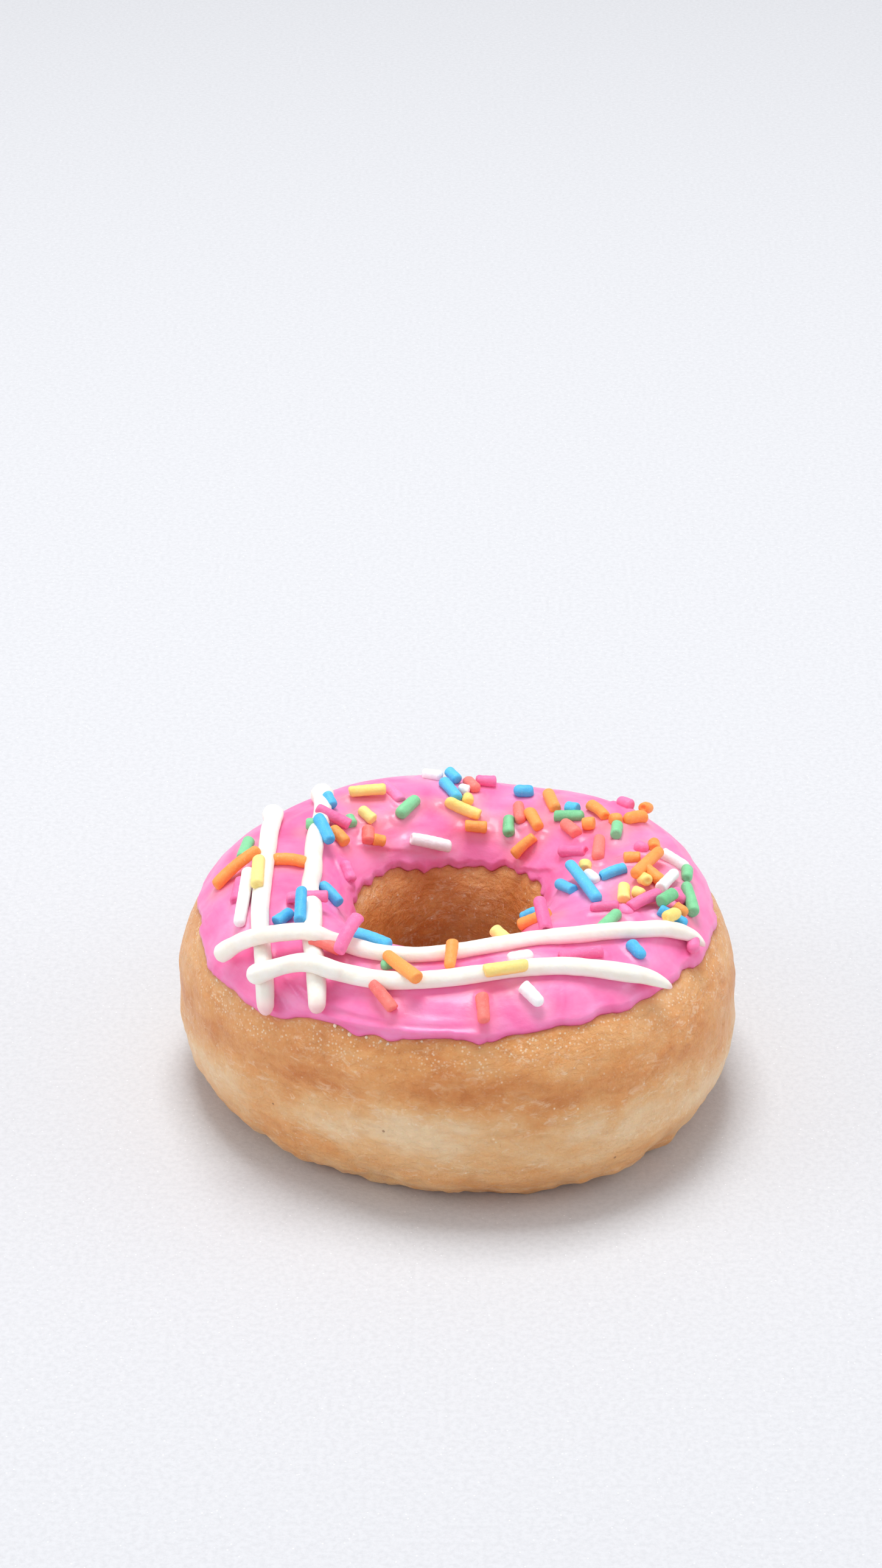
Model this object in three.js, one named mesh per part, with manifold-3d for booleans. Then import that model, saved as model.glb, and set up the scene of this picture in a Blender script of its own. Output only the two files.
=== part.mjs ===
// A puffy yeast ring doughnut with a coat of icing, four piped icing lines and loose sprinkles.
// Millimetres, +Z up. The doughnut rests on its flat underside at z = 0, and the middle of its
// outline stands over the origin. Places on the ring are given by two angles in degrees:
//   azimuth  round the ring, from +X towards +Y;
//   slope    round the ring's section: 0 faces outwards, 90 is the crest, 180 faces the hole.
import * as THREE from "three";
import { ParametricGeometry } from "three/addons/geometries/ParametricGeometry.js";
import { mergeVertices } from "three/addons/utils/BufferGeometryUtils.js";
import Module from "manifold-3d";

const wasm = await Module();
wasm.setup();

// ---- Driving dimensions -------------------------------------------------------------------

const OUTER_RADIUS = 44.8;
const HOLE_RADIUS = 13.2;
const DOUGH_HEIGHT = 35.4;
const WAIST_HEIGHT = 15.5; // where the ring is widest
const UNDERSIDE_SAG = 1.0; // how far the round underside would reach below the table if it weren't flat
const UPPER_FULLNESS = 2.35; // 2 is a plain ellipse, and more is squarer
const LOWER_FULLNESS = 2.4;

const ICING_THICKNESS = 1.4;
const ICING_EDGE_BLUNTNESS = 0.35; // how slowly the icing thins towards its hems
const OUTER_HEM_SLOPE = 44; // where the icing ends on the outside
const INNER_HEM_SLOPE = 141; // where it ends inside the hole

const LINE_WIDTH = 3.0;
const LINE_HEIGHT = 2.6;
const LINE_SUNK = 0.1;
const LINE_END_CROWDING = 0.85; // how far a line's sections crowd towards its ends, from 0 to 1

const SPRINKLE_WIDTH = 2.0;
const SPRINKLE_SUNK = 0.3;
const SPRINKLE_BLUNTNESS = 0.4; // 1 is a pointed egg, and 0 a square-ended rod
const SPRINKLE_LIFT_STEP = 0.1; // how finely a sprinkle is raised until it clears those under it

const CLEARANCE = 0.3; // gap between touching pieces

// ---- Unevenness of a hand-made ring -------------------------------------------------------

// Waves round the ring: [waves per turn, cosine part, sine part], in millimetres.
const RIM_WAVES = [
  [1, 0.7, -0.2],
  [2, 0.4, -0.7],
  [3, -1.0, 0.25],
];
const HOLE_WAVES = [
  [1, -2.2, 0],
  [2, -0.75, 1.45],
];
// Local swells: [azimuth, half width in degrees, rise]. The crest's rise is in millimetres.
const CREST_SWELLS = [
  [72, 22, -2.0],
  [117, 16, 0.7],
];
// Where the icing ran lower or stayed higher: [azimuth, half width, change of slope in degrees].
const OUTER_HEM_RUNS = [
  [212, 16, -9],
  [200, 2.5, -4],
  [247, 4, -4],
  [268, 5, 4],
  [277, 4, -3],
  [290, 5, 5],
  [302, 4, 3],
  [187, 5, 3],
  [317, 5, -2],
  [333, 4, -2],
  [352, 8, -2],
];
const INNER_HEM_RUNS = [
  [150, 14, -3],
  [118, 7, -2],
  [95, 14, 2],
  [55, 9, -3],
  [30, 10, -5],
  [0, 12, -3],
];
const HEM_RIPPLES = [
  [23, 0.7, 0.4],
  [37, 0.4, -0.5],
];

// ---- Where each piped line runs -----------------------------------------------------------

// Points of a line: [azimuth, slope, level]. Level 0 lies on the icing, and 1 is one line height up.
const PIPED_LINES = {
  piped_line_left: {
    points: [
      [147, 69, 0],
      [151.5, 76.5, 0],
      [160, 82.5, 0],
      [169, 86.5, 0],
      [179, 87.8, 0],
      [189, 86.5, 0],
      [203.5, 78.5, 0],
      [210.5, 71.5, 0],
      [216.5, 63.5, 0],
      [222, 52, 0],
      [225, 42, 0],
      [226.5, 36, 0],
    ],
    startTaper: 1.2,
    endTaper: 4,
  },
  piped_line_inner: {
    points: [
      [131.5, 75, 0],
      [135, 83, 0],
      [144, 93, 0],
      [155.5, 100, 0],
      [168, 105.5, 0],
      [180, 108.5, 0],
      [193, 106, 0],
      [205, 102, 0],
      [216, 93.5, 0],
      [224.5, 83, 0],
      [230, 74, 0],
      [234, 64.5, 0],
      [237, 54, 0],
      [238.5, 46, 0],
    ],
    startTaper: 1.2,
    endTaper: 3,
  },
  piped_line_across_back: {
    points: [
      [206.5, 47.5, 0.1],
      [212, 60.5, 0.6],
      [216.5, 66.5, 1],
      [222.5, 76, 0.9],
      [227, 79.5, 1],
      [231, 83, 0.5],
      [235, 87, 0.1],
      [244.5, 88.5, 0],
      [254.5, 90.5, 0],
      [266, 95, 0],
      [281, 99.5, 0],
      [297, 97.5, 0],
      [310, 90, 0],
      [318.5, 84, 0],
      [325, 76.5, 0],
      [332, 66.5, 0],
      [335.5, 56, 0],
      [336, 49, 0],
    ],
    startTaper: 1.2,
    endTaper: 8,
  },
  piped_line_across_front: {
    points: [
      [220.5, 49, 0.9],
      [224.5, 56, 0.9],
      [226.5, 61, 0.6],
      [230, 65, 0.7],
      [234, 66.5, 0.9],
      [238.5, 68, 0.5],
      [241, 70, 0.1],
      [249, 71.5, 0],
      [256, 73.5, 0],
      [265, 77, 0],
      [275.5, 80.5, 0],
      [286.5, 81.5, 0],
      [297.5, 77.5, 0],
      [304, 71.5, 0],
      [310, 64, 0],
      [314.5, 57.5, 0],
      [317.5, 51, 0],
      [319, 46.5, 0],
    ],
    startTaper: 1.5,
    endTaper: 9,
  },
};

// ---- Where each sprinkle lies -------------------------------------------------------------

// [colour, azimuth, slope, level at one tip, azimuth, slope, level at the other tip, bow].
// Level 0 lies in the icing and 1 is one sprinkle higher. Bow is its rise in the middle, in millimetres.
const SPRINKLES = [
  ["green", 164, 75, 0.1, 174.5, 77, 0.1, 0],
  ["orange", 183.5, 63, 0.1, 175.5, 85, 1.1, 0.3],
  ["orange", 176, 89.5, 0.2, 175, 104.5, 0.2, 0.5],
  ["yellow", 182, 86, 1.1, 196, 82.5, 1.1, 0],
  ["white", 186, 81.5, 0.9, 204, 65.5, 0.1, 0],
  ["blue", 207.5, 94.5, 1.7, 218, 85.5, 0.7, 0],
  ["pink", 201.5, 91.5, 0.3, 207.5, 107.5, 1.0, 0.2],
  ["blue", 187, 112.5, 0.1, 198, 122, 0.1, 0.2],
  ["blue", 150, 96, 1.1, 160, 109, 0.9, 0],
  ["pink", 145, 91.5, 1.0, 140, 105.5, 0.1, 0],
  ["orange", 147.5, 101.5, 0.1, 150, 113, 0.1, 0.2],
  ["pink", 238, 76, 1.5, 236.5, 93, 2.5, 0.8],
  ["pink", 302.5, 97.5, 0.6, 312.5, 110.5, 2.0, 0],
  ["yellow", 127.5, 88, 0.3, 117, 94.5, 0.4, 0],
  ["green", 118.5, 112, 0.1, 108, 103, 0.1, 0.2],
  ["white", 117.5, 126, 0.1, 96, 131.5, 0.1, 0],
  ["blue", 96, 88.5, 0.2, 91.5, 101.5, 0.2, 0],
  ["coral", 88.5, 84, 0.1, 84.5, 91.5, 0.1, 0],
  ["yellow", 96.5, 103.5, 0.1, 82, 110.5, 0.1, -0.2],
  ["orange", 88.5, 118.5, 0.1, 77.5, 117, 0.1, 0],
  ["blue", 72.5, 88, 0.1, 66, 86, 0.1, 0],
  ["green", 68.5, 108, 0.1, 64, 119.5, 0.1, 0],
  ["coral", 67.5, 98, 0.1, 61.5, 110.5, 0, 0],
  ["orange", 61, 102.5, 0.1, 50.5, 112.5, 0.1, 0],
  ["orange", 56, 131, 0.1, 49.5, 118, 0.1, 0.2],
  ["orange", 61, 86, 0.1, 51.5, 97.5, 0.1, 0],
  ["green", 49, 102.5, 0.1, 39.5, 95, 0.1, 0],
  ["coral", 42.5, 104, 0, 31.5, 105.5, 0.1, 0],
  ["orange", 43.5, 88, 0.2, 34, 89.5, 0.2, 0.2],
  ["orange", 29.5, 84.5, 0.2, 30.5, 72, 0.2, 0.2],
  ["green", 28, 88.5, 0.1, 20.5, 92, 0.3, 0],
  ["pink", 28.5, 117.5, 0, 17.5, 106.5, 0, 0],
  ["coral", 23, 98, 0.1, 8.5, 102.5, 0.1, 0.2],
  ["orange", 351, 88.5, 0.6, 6.5, 79, 0.7, 0],
  ["white", 9, 77, 0.1, 3.5, 65, 0.1, 0],
  ["green", 355.5, 67, 0.1, 344.5, 60.5, 0.1, 0.2],
  ["white", 358, 72.5, 0.3, 347.5, 78, 0.3, 0],
  ["yellow", 347.5, 91, 0.1, 337.5, 89, 0.1, 0],
  ["blue", 4.5, 114.5, 1.0, 335, 97.5, 0.1, 0.3],
  ["blue", 353, 101, 0.1, 359, 91.5, 0.1, 0.2],
  ["pink", 334.5, 86, 0.1, 344, 77.5, 0.5, 0.2],
  ["blue", 338, 75, 0.1, 338, 61, 0.1, 0],
  ["green", 317.5, 87.5, 0.1, 329.5, 88, 0.1, 0],
  ["yellow", 289, 100, 0.1, 285, 109, 1.0, 0],
  ["orange", 268, 93, 1.5, 267.5, 82, 0.5, 0],
  ["orange", 249, 86, 0.6, 260.5, 70.5, 1.4, 0],
  ["coral", 249, 68.5, 0.4, 255.5, 57.5, 0.1, 0],
  ["yellow", 276.5, 78, 0.9, 288, 79, 0.9, 0],
  ["pink", 299, 84, 0, 311, 78, 0, 0],
  ["blue", 319.5, 74, 0.1, 318.5, 65, 0.1, 0],
  ["white", 285.5, 72, 0.1, 288.5, 60.5, 0.1, 0],
  ["coral", 275.5, 69, 0.1, 275.5, 54.5, 0.1, 0],
  ["coral", 227.5, 78, 1.1, 236, 81.5, 0.5, 0],
  ["blue", 232, 97.5, 0.3, 247, 95, 0.3, 0.2],
];

// ---- Fineness of the meshes ---------------------------------------------------------------

const RING_STEPS = 56;
const SECTION_STEPS = 22;
const ICING_TOP_STEPS = 9;
const ICING_STEPS = 2 * ICING_TOP_STEPS;
const LINE_STEPS = 30;
const LINE_SIDES = 8;
const SPRINKLE_STEPS = 5;
const SPRINKLE_SIDES = 8;
const MERGE_DISTANCE = 1e-4;

// ---- Colours and finishes -----------------------------------------------------------------

const finish = (color, roughness) => new THREE.MeshStandardMaterial({ color, roughness, metalness: 0 });
const DOUGH_FINISH = finish(0xdca56c, 0.75);
const ICING_FINISH = finish(0xff8cc3, 0.35);
const LINE_FINISH = finish(0xf5f0e6, 0.4);
const SPRINKLE_FINISHES = {
  green: finish(0x7dc38c, 0.5),
  orange: finish(0xfa913c, 0.5),
  yellow: finish(0xffdc78, 0.5),
  white: finish(0xf5f0f5, 0.5),
  blue: finish(0x3caae1, 0.5),
  pink: finish(0xe1649b, 0.5),
  coral: finish(0xf06e69, 0.5),
};

// ---- The ring's surface -------------------------------------------------------------------

const radians = THREE.MathUtils.degToRad;

/** Sum of waves round the ring at an azimuth in degrees. */
function waves(list, azimuth) {
  return list.reduce((sum, [count, cosine, sine]) => {
    const angle = radians(count * azimuth);
    return sum + cosine * Math.cos(angle) + sine * Math.sin(angle);
  }, 0);
}

/** Sum of local swells, each a bell curve over the azimuth. */
function swells(list, azimuth) {
  return list.reduce((sum, [centre, halfWidth, rise]) => {
    const away = THREE.MathUtils.euclideanModulo(azimuth - centre + 180, 360) - 180;
    return sum + rise * Math.exp(-((away / halfWidth) ** 2));
  }, 0);
}

/** A cosine or sine raised so that the section is a squarer oval, keeping its sign. */
const fuller = (value, fullness) => Math.sign(value) * Math.abs(value) ** (2 / fullness);

/** A point of the dough's surface before the underside is flattened. */
function roundPoint(azimuth, slope) {
  const outer = OUTER_RADIUS + waves(RIM_WAVES, azimuth);
  const inner = HOLE_RADIUS + waves(HOLE_WAVES, azimuth);
  const across = Math.cos(radians(slope));
  const up = Math.sin(radians(slope));
  const isUpper = up > 0;
  const upperRise = DOUGH_HEIGHT - WAIST_HEIGHT + swells(CREST_SWELLS, azimuth);
  const rise = isUpper ? upperRise : WAIST_HEIGHT + UNDERSIDE_SAG;
  const fullness = isUpper ? UPPER_FULLNESS : LOWER_FULLNESS;
  const radius = (outer + inner) / 2 + ((outer - inner) / 2) * fuller(across, fullness);
  const height = WAIST_HEIGHT + rise * fuller(up, fullness);
  const turn = radians(azimuth);
  return new THREE.Vector3(radius * Math.cos(turn), radius * Math.sin(turn), height);
}

/** The outward direction at a point of the surface. */
function outward(azimuth, slope) {
  const step = 0.5;
  const along = roundPoint(azimuth + step, slope).sub(roundPoint(azimuth - step, slope));
  const over = roundPoint(azimuth, slope + step).sub(roundPoint(azimuth, slope - step));
  return along.cross(over).normalize();
}

/** A point above the dough's surface, never below the table. */
function ringPoint(azimuth, slope, above = 0) {
  const point = roundPoint(azimuth, slope).addScaledVector(outward(azimuth, slope), above);
  point.z = Math.max(point.z, 0);
  return point;
}

/** A point above the icing's surface. */
const icedPoint = (azimuth, slope, above) => ringPoint(azimuth, slope, CLEARANCE + ICING_THICKNESS + above);

// ---- Closed meshes and solids -------------------------------------------------------------

/** A closed mesh from a point function of two numbers from 0 to 1. */
function closedSurface(pointAt, steps, sides) {
  const surface = new ParametricGeometry((u, v, target) => target.copy(pointAt(u, v)), steps, sides);
  surface.deleteAttribute("normal");
  surface.deleteAttribute("uv");
  const merged = mergeVertices(surface, MERGE_DISTANCE);
  const corners = merged.index.array;
  const kept = [];
  for (let i = 0; i < corners.length; i += 3) {
    const [a, b, c] = corners.slice(i, i + 3);
    if (a !== b && b !== c && c !== a) kept.push(a, b, c);
  }
  merged.setIndex(kept);
  merged.computeVertexNormals();
  return merged;
}

/** The solid that a closed mesh bounds. */
function solidOf(geometry) {
  const vertProperties = new Float32Array(geometry.attributes.position.array);
  const triVerts = new Uint32Array(geometry.index.array);
  return new wasm.Manifold(new wasm.Mesh({ numProp: 3, vertProperties, triVerts }));
}

/** The mesh that bounds a solid. */
function meshOf(solid) {
  const { vertProperties, triVerts } = solid.getMesh();
  const geometry = new THREE.BufferGeometry();
  geometry.setAttribute("position", new THREE.BufferAttribute(vertProperties, 3));
  geometry.setIndex(new THREE.BufferAttribute(triVerts, 1));
  geometry.computeVertexNormals();
  return geometry;
}

/** A named piece of the doughnut. */
function piece(name, geometry, material) {
  const mesh = new THREE.Mesh(geometry, material);
  mesh.name = name;
  return mesh;
}

/** The solid of a closed mesh placed as another mesh is. */
function solidPlacedAs(mesh, geometry) {
  mesh.updateMatrix();
  return solidOf(geometry.applyMatrix4(mesh.matrix));
}

// ---- The dough ring -----------------------------------------------------------------------

function makeDoughRing() {
  const surface = closedSurface((u, v) => ringPoint(360 * u, 360 * v), RING_STEPS, SECTION_STEPS);
  return piece("dough_ring", surface, DOUGH_FINISH);
}

// ---- The icing ----------------------------------------------------------------------------

const outerHem = (azimuth) =>
  OUTER_HEM_SLOPE + swells(OUTER_HEM_RUNS, azimuth) + waves(HEM_RIPPLES, azimuth);
const innerHem = (azimuth) =>
  INNER_HEM_SLOPE + swells(INNER_HEM_RUNS, azimuth) - waves(HEM_RIPPLES, azimuth);

/** The icing's section is a thin shell: over its top from hem to hem, and back against the dough. */
function icingPoint(u, v) {
  const azimuth = 360 * u;
  const isTop = v < 0.5;
  const across = isTop ? 2 * v : 2 - 2 * v;
  const slope = THREE.MathUtils.lerp(outerHem(azimuth), innerHem(azimuth), across);
  const swell = isTop ? Math.sin(Math.PI * across) ** ICING_EDGE_BLUNTNESS : 0;
  return ringPoint(azimuth, slope, CLEARANCE + ICING_THICKNESS * swell);
}

function makeIcing(pressedIn) {
  const coat = solidOf(closedSurface(icingPoint, RING_STEPS, ICING_STEPS));
  const pocketed = pressedIn.reduce((solid, pressed) => solid.subtract(pressed), coat);
  return piece("icing", meshOf(pocketed), ICING_FINISH);
}

// ---- The piped lines ----------------------------------------------------------------------

/** Distance along a line, with short steps near its two ends. */
const endwardSteps = (u) => u - (LINE_END_CROWDING * Math.sin(2 * Math.PI * u)) / (2 * Math.PI);

/** A soft rope of icing along its points, round in section, with each end drawn in over its taper. */
function lineSurface({ points, startTaper, endTaper }, grownBy) {
  const bedHeight = LINE_HEIGHT / 2 - LINE_SUNK;
  const path = new THREE.CatmullRomCurve3(
    points.map(([azimuth, slope, level]) => icedPoint(azimuth, slope, bedHeight + level * LINE_HEIGHT)),
    false,
    "centripetal",
  );
  const length = path.getLength();
  const drawnIn = (distance, taper) => Math.min(1, Math.max(0, distance) / taper);
  return closedSurface(
    (u, v) => {
      const station = THREE.MathUtils.clamp(endwardSteps(u), 0, 1);
      const tangent = path.getTangentAt(station);
      const centre = path.getPointAt(station);
      const reach = grownBy * (2 * station - 1);
      centre.addScaledVector(tangent, reach);
      const narrow = drawnIn(station * length, startTaper) * drawnIn((1 - station) * length, endTaper);
      const fullness = Math.sqrt(narrow * (2 - narrow));
      const isTip = u === 0 || u === 1;
      const growth = isTip ? 0 : grownBy;
      const sideways = new THREE.Vector3(0, 0, 1).cross(tangent).normalize();
      const upwards = tangent.clone().cross(sideways);
      const turn = -2 * Math.PI * v;
      return centre
        .addScaledVector(sideways, ((LINE_WIDTH / 2) * fullness + growth) * Math.cos(turn))
        .addScaledVector(upwards, ((LINE_HEIGHT / 2) * fullness + growth) * Math.sin(turn));
    },
    LINE_STEPS,
    LINE_SIDES,
  );
}

/** Each line is soft: it gives way to the sprinkles and to the lines piped before it. */
function makePipedLines(sprinkleBeds) {
  const lines = [];
  const beds = [];
  for (const [name, line] of Object.entries(PIPED_LINES)) {
    const whole = solidOf(lineSurface(line, 0));
    const pressed = [...beds, ...sprinkleBeds].reduce((solid, bed) => solid.subtract(bed), whole);
    lines.push(piece(name, meshOf(pressed), LINE_FINISH));
    beds.push(solidOf(lineSurface(line, CLEARANCE)));
  }
  return { lines, beds };
}

// ---- The sprinkles ------------------------------------------------------------------------

/** A sprinkle lies along +X about its middle: a round rod with blunt ends, bowed towards +Z. */
function sprinkleSurface(length, bow, grownBy) {
  const halfLength = length / 2 + grownBy;
  const radius = SPRINKLE_WIDTH / 2 + grownBy;
  return closedSurface(
    (u, v) => {
      const along = -Math.cos(Math.PI * u);
      const isTip = u === 0 || u === 1;
      const girth = isTip ? 0 : radius * Math.sin(Math.PI * u) ** SPRINKLE_BLUNTNESS;
      const turn = -2 * Math.PI * v;
      return new THREE.Vector3(
        halfLength * along,
        girth * Math.cos(turn),
        girth * Math.sin(turn) + bow * (0.5 - along ** 2),
      );
    },
    SPRINKLE_STEPS,
    SPRINKLE_SIDES,
  );
}

/** One sprinkle between its two tips, with the bed that softer pieces leave round it. */
function makeSprinkle([colour, azimuthA, slopeA, levelA, azimuthB, slopeB, levelB, bow], index, lift) {
  const height = (level) => SPRINKLE_WIDTH / 2 - SPRINKLE_SUNK + level * SPRINKLE_WIDTH + lift;
  const tipA = icedPoint(azimuthA, slopeA, height(levelA));
  const tipB = icedPoint(azimuthB, slopeB, height(levelB));
  const along = tipB.clone().sub(tipA);
  const length = along.length();
  along.normalize();
  const sideways = outward(azimuthA, slopeA).cross(along).normalize();
  const upwards = along.clone().cross(sideways);
  const number = String(index + 1).padStart(2, "0");
  const sprinkle = piece(
    `sprinkle_${number}_${colour}`,
    sprinkleSurface(length, bow, 0),
    SPRINKLE_FINISHES[colour],
  );
  sprinkle.position.addVectors(tipA, tipB).multiplyScalar(0.5);
  sprinkle.quaternion.setFromRotationMatrix(new THREE.Matrix4().makeBasis(along, sideways, upwards));
  const body = solidPlacedAs(sprinkle, sprinkleSurface(length, bow, 0));
  const bed = solidPlacedAs(sprinkle, sprinkleSurface(length, bow, CLEARANCE));
  return { sprinkle, body, bed };
}

/** Sprinkles are hard, so each one comes to rest on any that it meets of those laid before it. */
function laySprinkles(rows) {
  const laid = [];
  rows.forEach((row, index) => {
    let lift = 0;
    let next = makeSprinkle(row, index, lift);
    while (laid.some(({ body }) => !body.intersect(next.body).isEmpty())) {
      lift += SPRINKLE_LIFT_STEP;
      next = makeSprinkle(row, index, lift);
    }
    laid.push(next);
  });
  return laid;
}

// ---- Assembly -----------------------------------------------------------------------------

const made = laySprinkles(SPRINKLES);
const sprinkles = made.map(({ sprinkle }) => sprinkle);
const sprinkleBeds = made.map(({ bed }) => bed);
const { lines, beds: lineBeds } = makePipedLines(sprinkleBeds);

const ring = new THREE.Group();
ring.add(makeDoughRing(), makeIcing([...lineBeds, ...sprinkleBeds]), ...lines, ...sprinkles);
const middle = new THREE.Box3().setFromObject(ring).getCenter(new THREE.Vector3());
ring.position.set(-middle.x, -middle.y, 0);

const doughnut = new THREE.Group();
doughnut.add(ring);

export default doughnut;
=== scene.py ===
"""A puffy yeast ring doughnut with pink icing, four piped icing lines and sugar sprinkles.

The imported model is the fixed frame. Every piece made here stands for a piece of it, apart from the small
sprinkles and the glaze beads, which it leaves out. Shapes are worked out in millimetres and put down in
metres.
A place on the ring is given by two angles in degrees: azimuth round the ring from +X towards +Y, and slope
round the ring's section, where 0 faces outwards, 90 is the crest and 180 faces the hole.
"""

import sys
import logging
import math
from dataclasses import dataclass, field
from enum import Enum

import bpy
import numpy as np
from mathutils import Matrix, Vector


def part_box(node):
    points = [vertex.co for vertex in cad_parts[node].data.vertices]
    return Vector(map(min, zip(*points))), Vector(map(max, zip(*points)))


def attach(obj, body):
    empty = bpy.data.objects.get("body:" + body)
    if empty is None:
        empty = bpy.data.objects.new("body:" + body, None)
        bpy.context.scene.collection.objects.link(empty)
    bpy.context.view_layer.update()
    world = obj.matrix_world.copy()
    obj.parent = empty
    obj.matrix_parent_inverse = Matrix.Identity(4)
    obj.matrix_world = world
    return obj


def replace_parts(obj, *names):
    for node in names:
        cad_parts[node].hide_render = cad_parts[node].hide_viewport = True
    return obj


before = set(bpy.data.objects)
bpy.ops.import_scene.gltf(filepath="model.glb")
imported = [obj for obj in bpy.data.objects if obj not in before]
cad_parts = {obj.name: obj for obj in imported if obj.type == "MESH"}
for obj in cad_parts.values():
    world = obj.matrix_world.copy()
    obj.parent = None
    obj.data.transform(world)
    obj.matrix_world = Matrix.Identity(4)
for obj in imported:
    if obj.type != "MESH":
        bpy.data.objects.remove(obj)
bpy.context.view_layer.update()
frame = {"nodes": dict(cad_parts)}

log = logging.getLogger("doughnut")

MM = 0.001
Array = np.ndarray
Colour = tuple[float, float, float, float]
Socket = bpy.types.NodeSocket


# ---- Small tools ---------------------------------------------------------------------------


def paint(red: int, green: int, blue: int) -> Colour:
    """Returns a screen colour of 0 to 255 as the linear colour that shaders take."""
    screen = np.array([red, green, blue]) / 255
    linear = np.where(screen > 0.04045, ((screen + 0.055) / 1.055) ** 2.4, screen / 12.92)
    return (*map(float, linear), 1.0)


def ease(value: Array, low: float, high: float) -> Array:
    """Returns 0 below low, 1 above high, and the smooth step 3t^2 - 2t^3 between them."""
    share = np.clip((value - low) / (high - low), 0, 1)
    return share * share * (3 - 2 * share)


def unit(vectors: Array) -> Array:
    """Returns each vector divided by its length."""
    return vectors / np.maximum(np.linalg.norm(vectors, axis=-1, keepdims=True), 1e-9)


def turned(angle: Array) -> Array:
    """Returns an azimuth or slope in degrees brought into -180 to 180."""
    return (angle + 180) % 360 - 180


SKIN_PER_DEGREE = 0.31  # millimetres over the skin for a degree of slope, about the same all over the top
MIDDLE_BOW = 0.905  # how far a bowed sprinkle's middle half stands off its chord, as a share of the bow
CURVE_POINTS = 33  # points from one knot of a smooth path to the next, both included


class Grain:
    """Smooth random relief: values on a cubic lattice, blended between its corners."""

    CELLS = 48

    def __init__(self, seed: int) -> None:
        """Draws the lattice of random values from -1 to 1.

        Args:
            seed: picks the lattice, so that each piece has its own relief.
        """
        self.lattice = np.random.default_rng(seed).uniform(-1, 1, (self.CELLS,) * 3)

    def at(self, points: Array, size: float | tuple[float, float, float]) -> Array:
        """Blends the eight lattice values round each point by the quintic 6t^5 - 15t^4 + 10t^3.

        Args:
            points: places, with x, y and z last.
            size: how wide a bump is, in the unit of the points, or its three widths.

        Returns:
            One value from -1 to 1 for each point.
        """
        place = points / np.asarray(size, float) + 0.37 * self.CELLS
        corner = np.floor(place).astype(int)
        t = place - corner
        near = t * t * t * (t * (6 * t - 15) + 10)
        total = np.zeros(points.shape[:-1])
        for dx in (0, 1):
            for dy in (0, 1):
                for dz in (0, 1):
                    step = np.array([dx, dy, dz])
                    share = np.prod(np.where(step == 1, near, 1 - near), axis=-1)
                    i, j, k = np.moveaxis((corner + step) % self.CELLS, -1, 0)
                    total = total + share * self.lattice[i, j, k]
        return total

    def layered(self, points: Array, size: float, layers: int) -> Array:
        """Returns a sum of reliefs, each half as wide and half as high as the one before."""
        return sum(self.at(points, size / 2**n) / 2**n for n in range(layers))

    def creased(self, points: Array, size: float | tuple[float, float, float]) -> Array:
        """Returns relief with narrow valleys where the plain relief crosses zero, from 0 to 1."""
        return np.minimum(np.abs(self.at(points, size)) * 3, 1)


@dataclass
class Surface:
    """A closed mesh in millimetres, with the values that its finish reads at each point."""

    points: Array
    faces: list[tuple[int, ...]] | Array
    values: dict[str, Array] = field(default_factory=dict)


def wrapped_faces(rows: int, columns: int) -> Array:
    """Returns the quads of a grid that closes on itself both ways, as on a ring."""
    i, j = np.meshgrid(np.arange(rows), np.arange(columns), indexing="ij")
    following, over = (i + 1) % rows, (j + 1) % columns
    corners = [i * columns + j, following * columns + j, following * columns + over, i * columns + over]
    return np.stack(corners, axis=-1).reshape(-1, 4)


def capped_faces(rows: int, sides: int) -> list[tuple[int, ...]]:
    """Lists the faces of a tube whose first and last rows are single points.

    Args:
        rows: rows of the tube, the two end points not counted.
        sides: points in a row.

    Returns:
        Quads between the rows and fans of triangles at the two ends, for points in the order
        first end, rows, last end.
    """
    i, j = np.meshgrid(np.arange(rows - 1), np.arange(sides), indexing="ij")
    over = (j + 1) % sides
    here = 1 + i * sides
    beyond = 1 + (i + 1) * sides
    quads = np.stack([here + j, beyond + j, beyond + over, here + over], axis=-1).reshape(-1, 4)
    ring = np.arange(sides)
    after = (ring + 1) % sides
    last_row = 1 + (rows - 1) * sides
    first_fan = np.stack([np.zeros(sides, int), 1 + ring, 1 + after], axis=-1)
    last_fan = np.stack([last_row + ring, np.full(sides, 1 + rows * sides), last_row + after], axis=-1)
    return [*map(tuple, quads.tolist()), *map(tuple, first_fan.tolist()), *map(tuple, last_fan.tolist())]


def put_down(name: str, surface: Surface, material: bpy.types.Material) -> bpy.types.Object:
    """Makes a smooth mesh object of a surface, at the origin, riding on the doughnut.

    Args:
        name: the piece's name.
        surface: its points, faces and values.
        material: its finish.

    Returns:
        The new object.
    """
    mesh = bpy.data.meshes.new(name)
    faces = surface.faces.tolist() if isinstance(surface.faces, np.ndarray) else surface.faces
    mesh.from_pydata((surface.points * MM).tolist(), [], faces)
    mesh.polygons.foreach_set("use_smooth", np.ones(len(mesh.polygons), bool))
    for value_name, values in surface.values.items():
        is_colour = values.ndim == 2
        kind = "FLOAT_COLOR" if is_colour else "FLOAT"
        attribute = mesh.attributes.new(value_name, kind, "POINT")
        attribute.data.foreach_set("color" if is_colour else "value", values.astype(np.float32).ravel())
    mesh.materials.append(material)
    mesh.update()
    piece = bpy.data.objects.new(name, mesh)
    bpy.context.scene.collection.objects.link(piece)
    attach(piece, "root")
    triangles = sum(len(face) - 2 for face in faces)
    log.info("%s: %d points, %d triangles", name, len(surface.points), triangles)
    return piece


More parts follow.
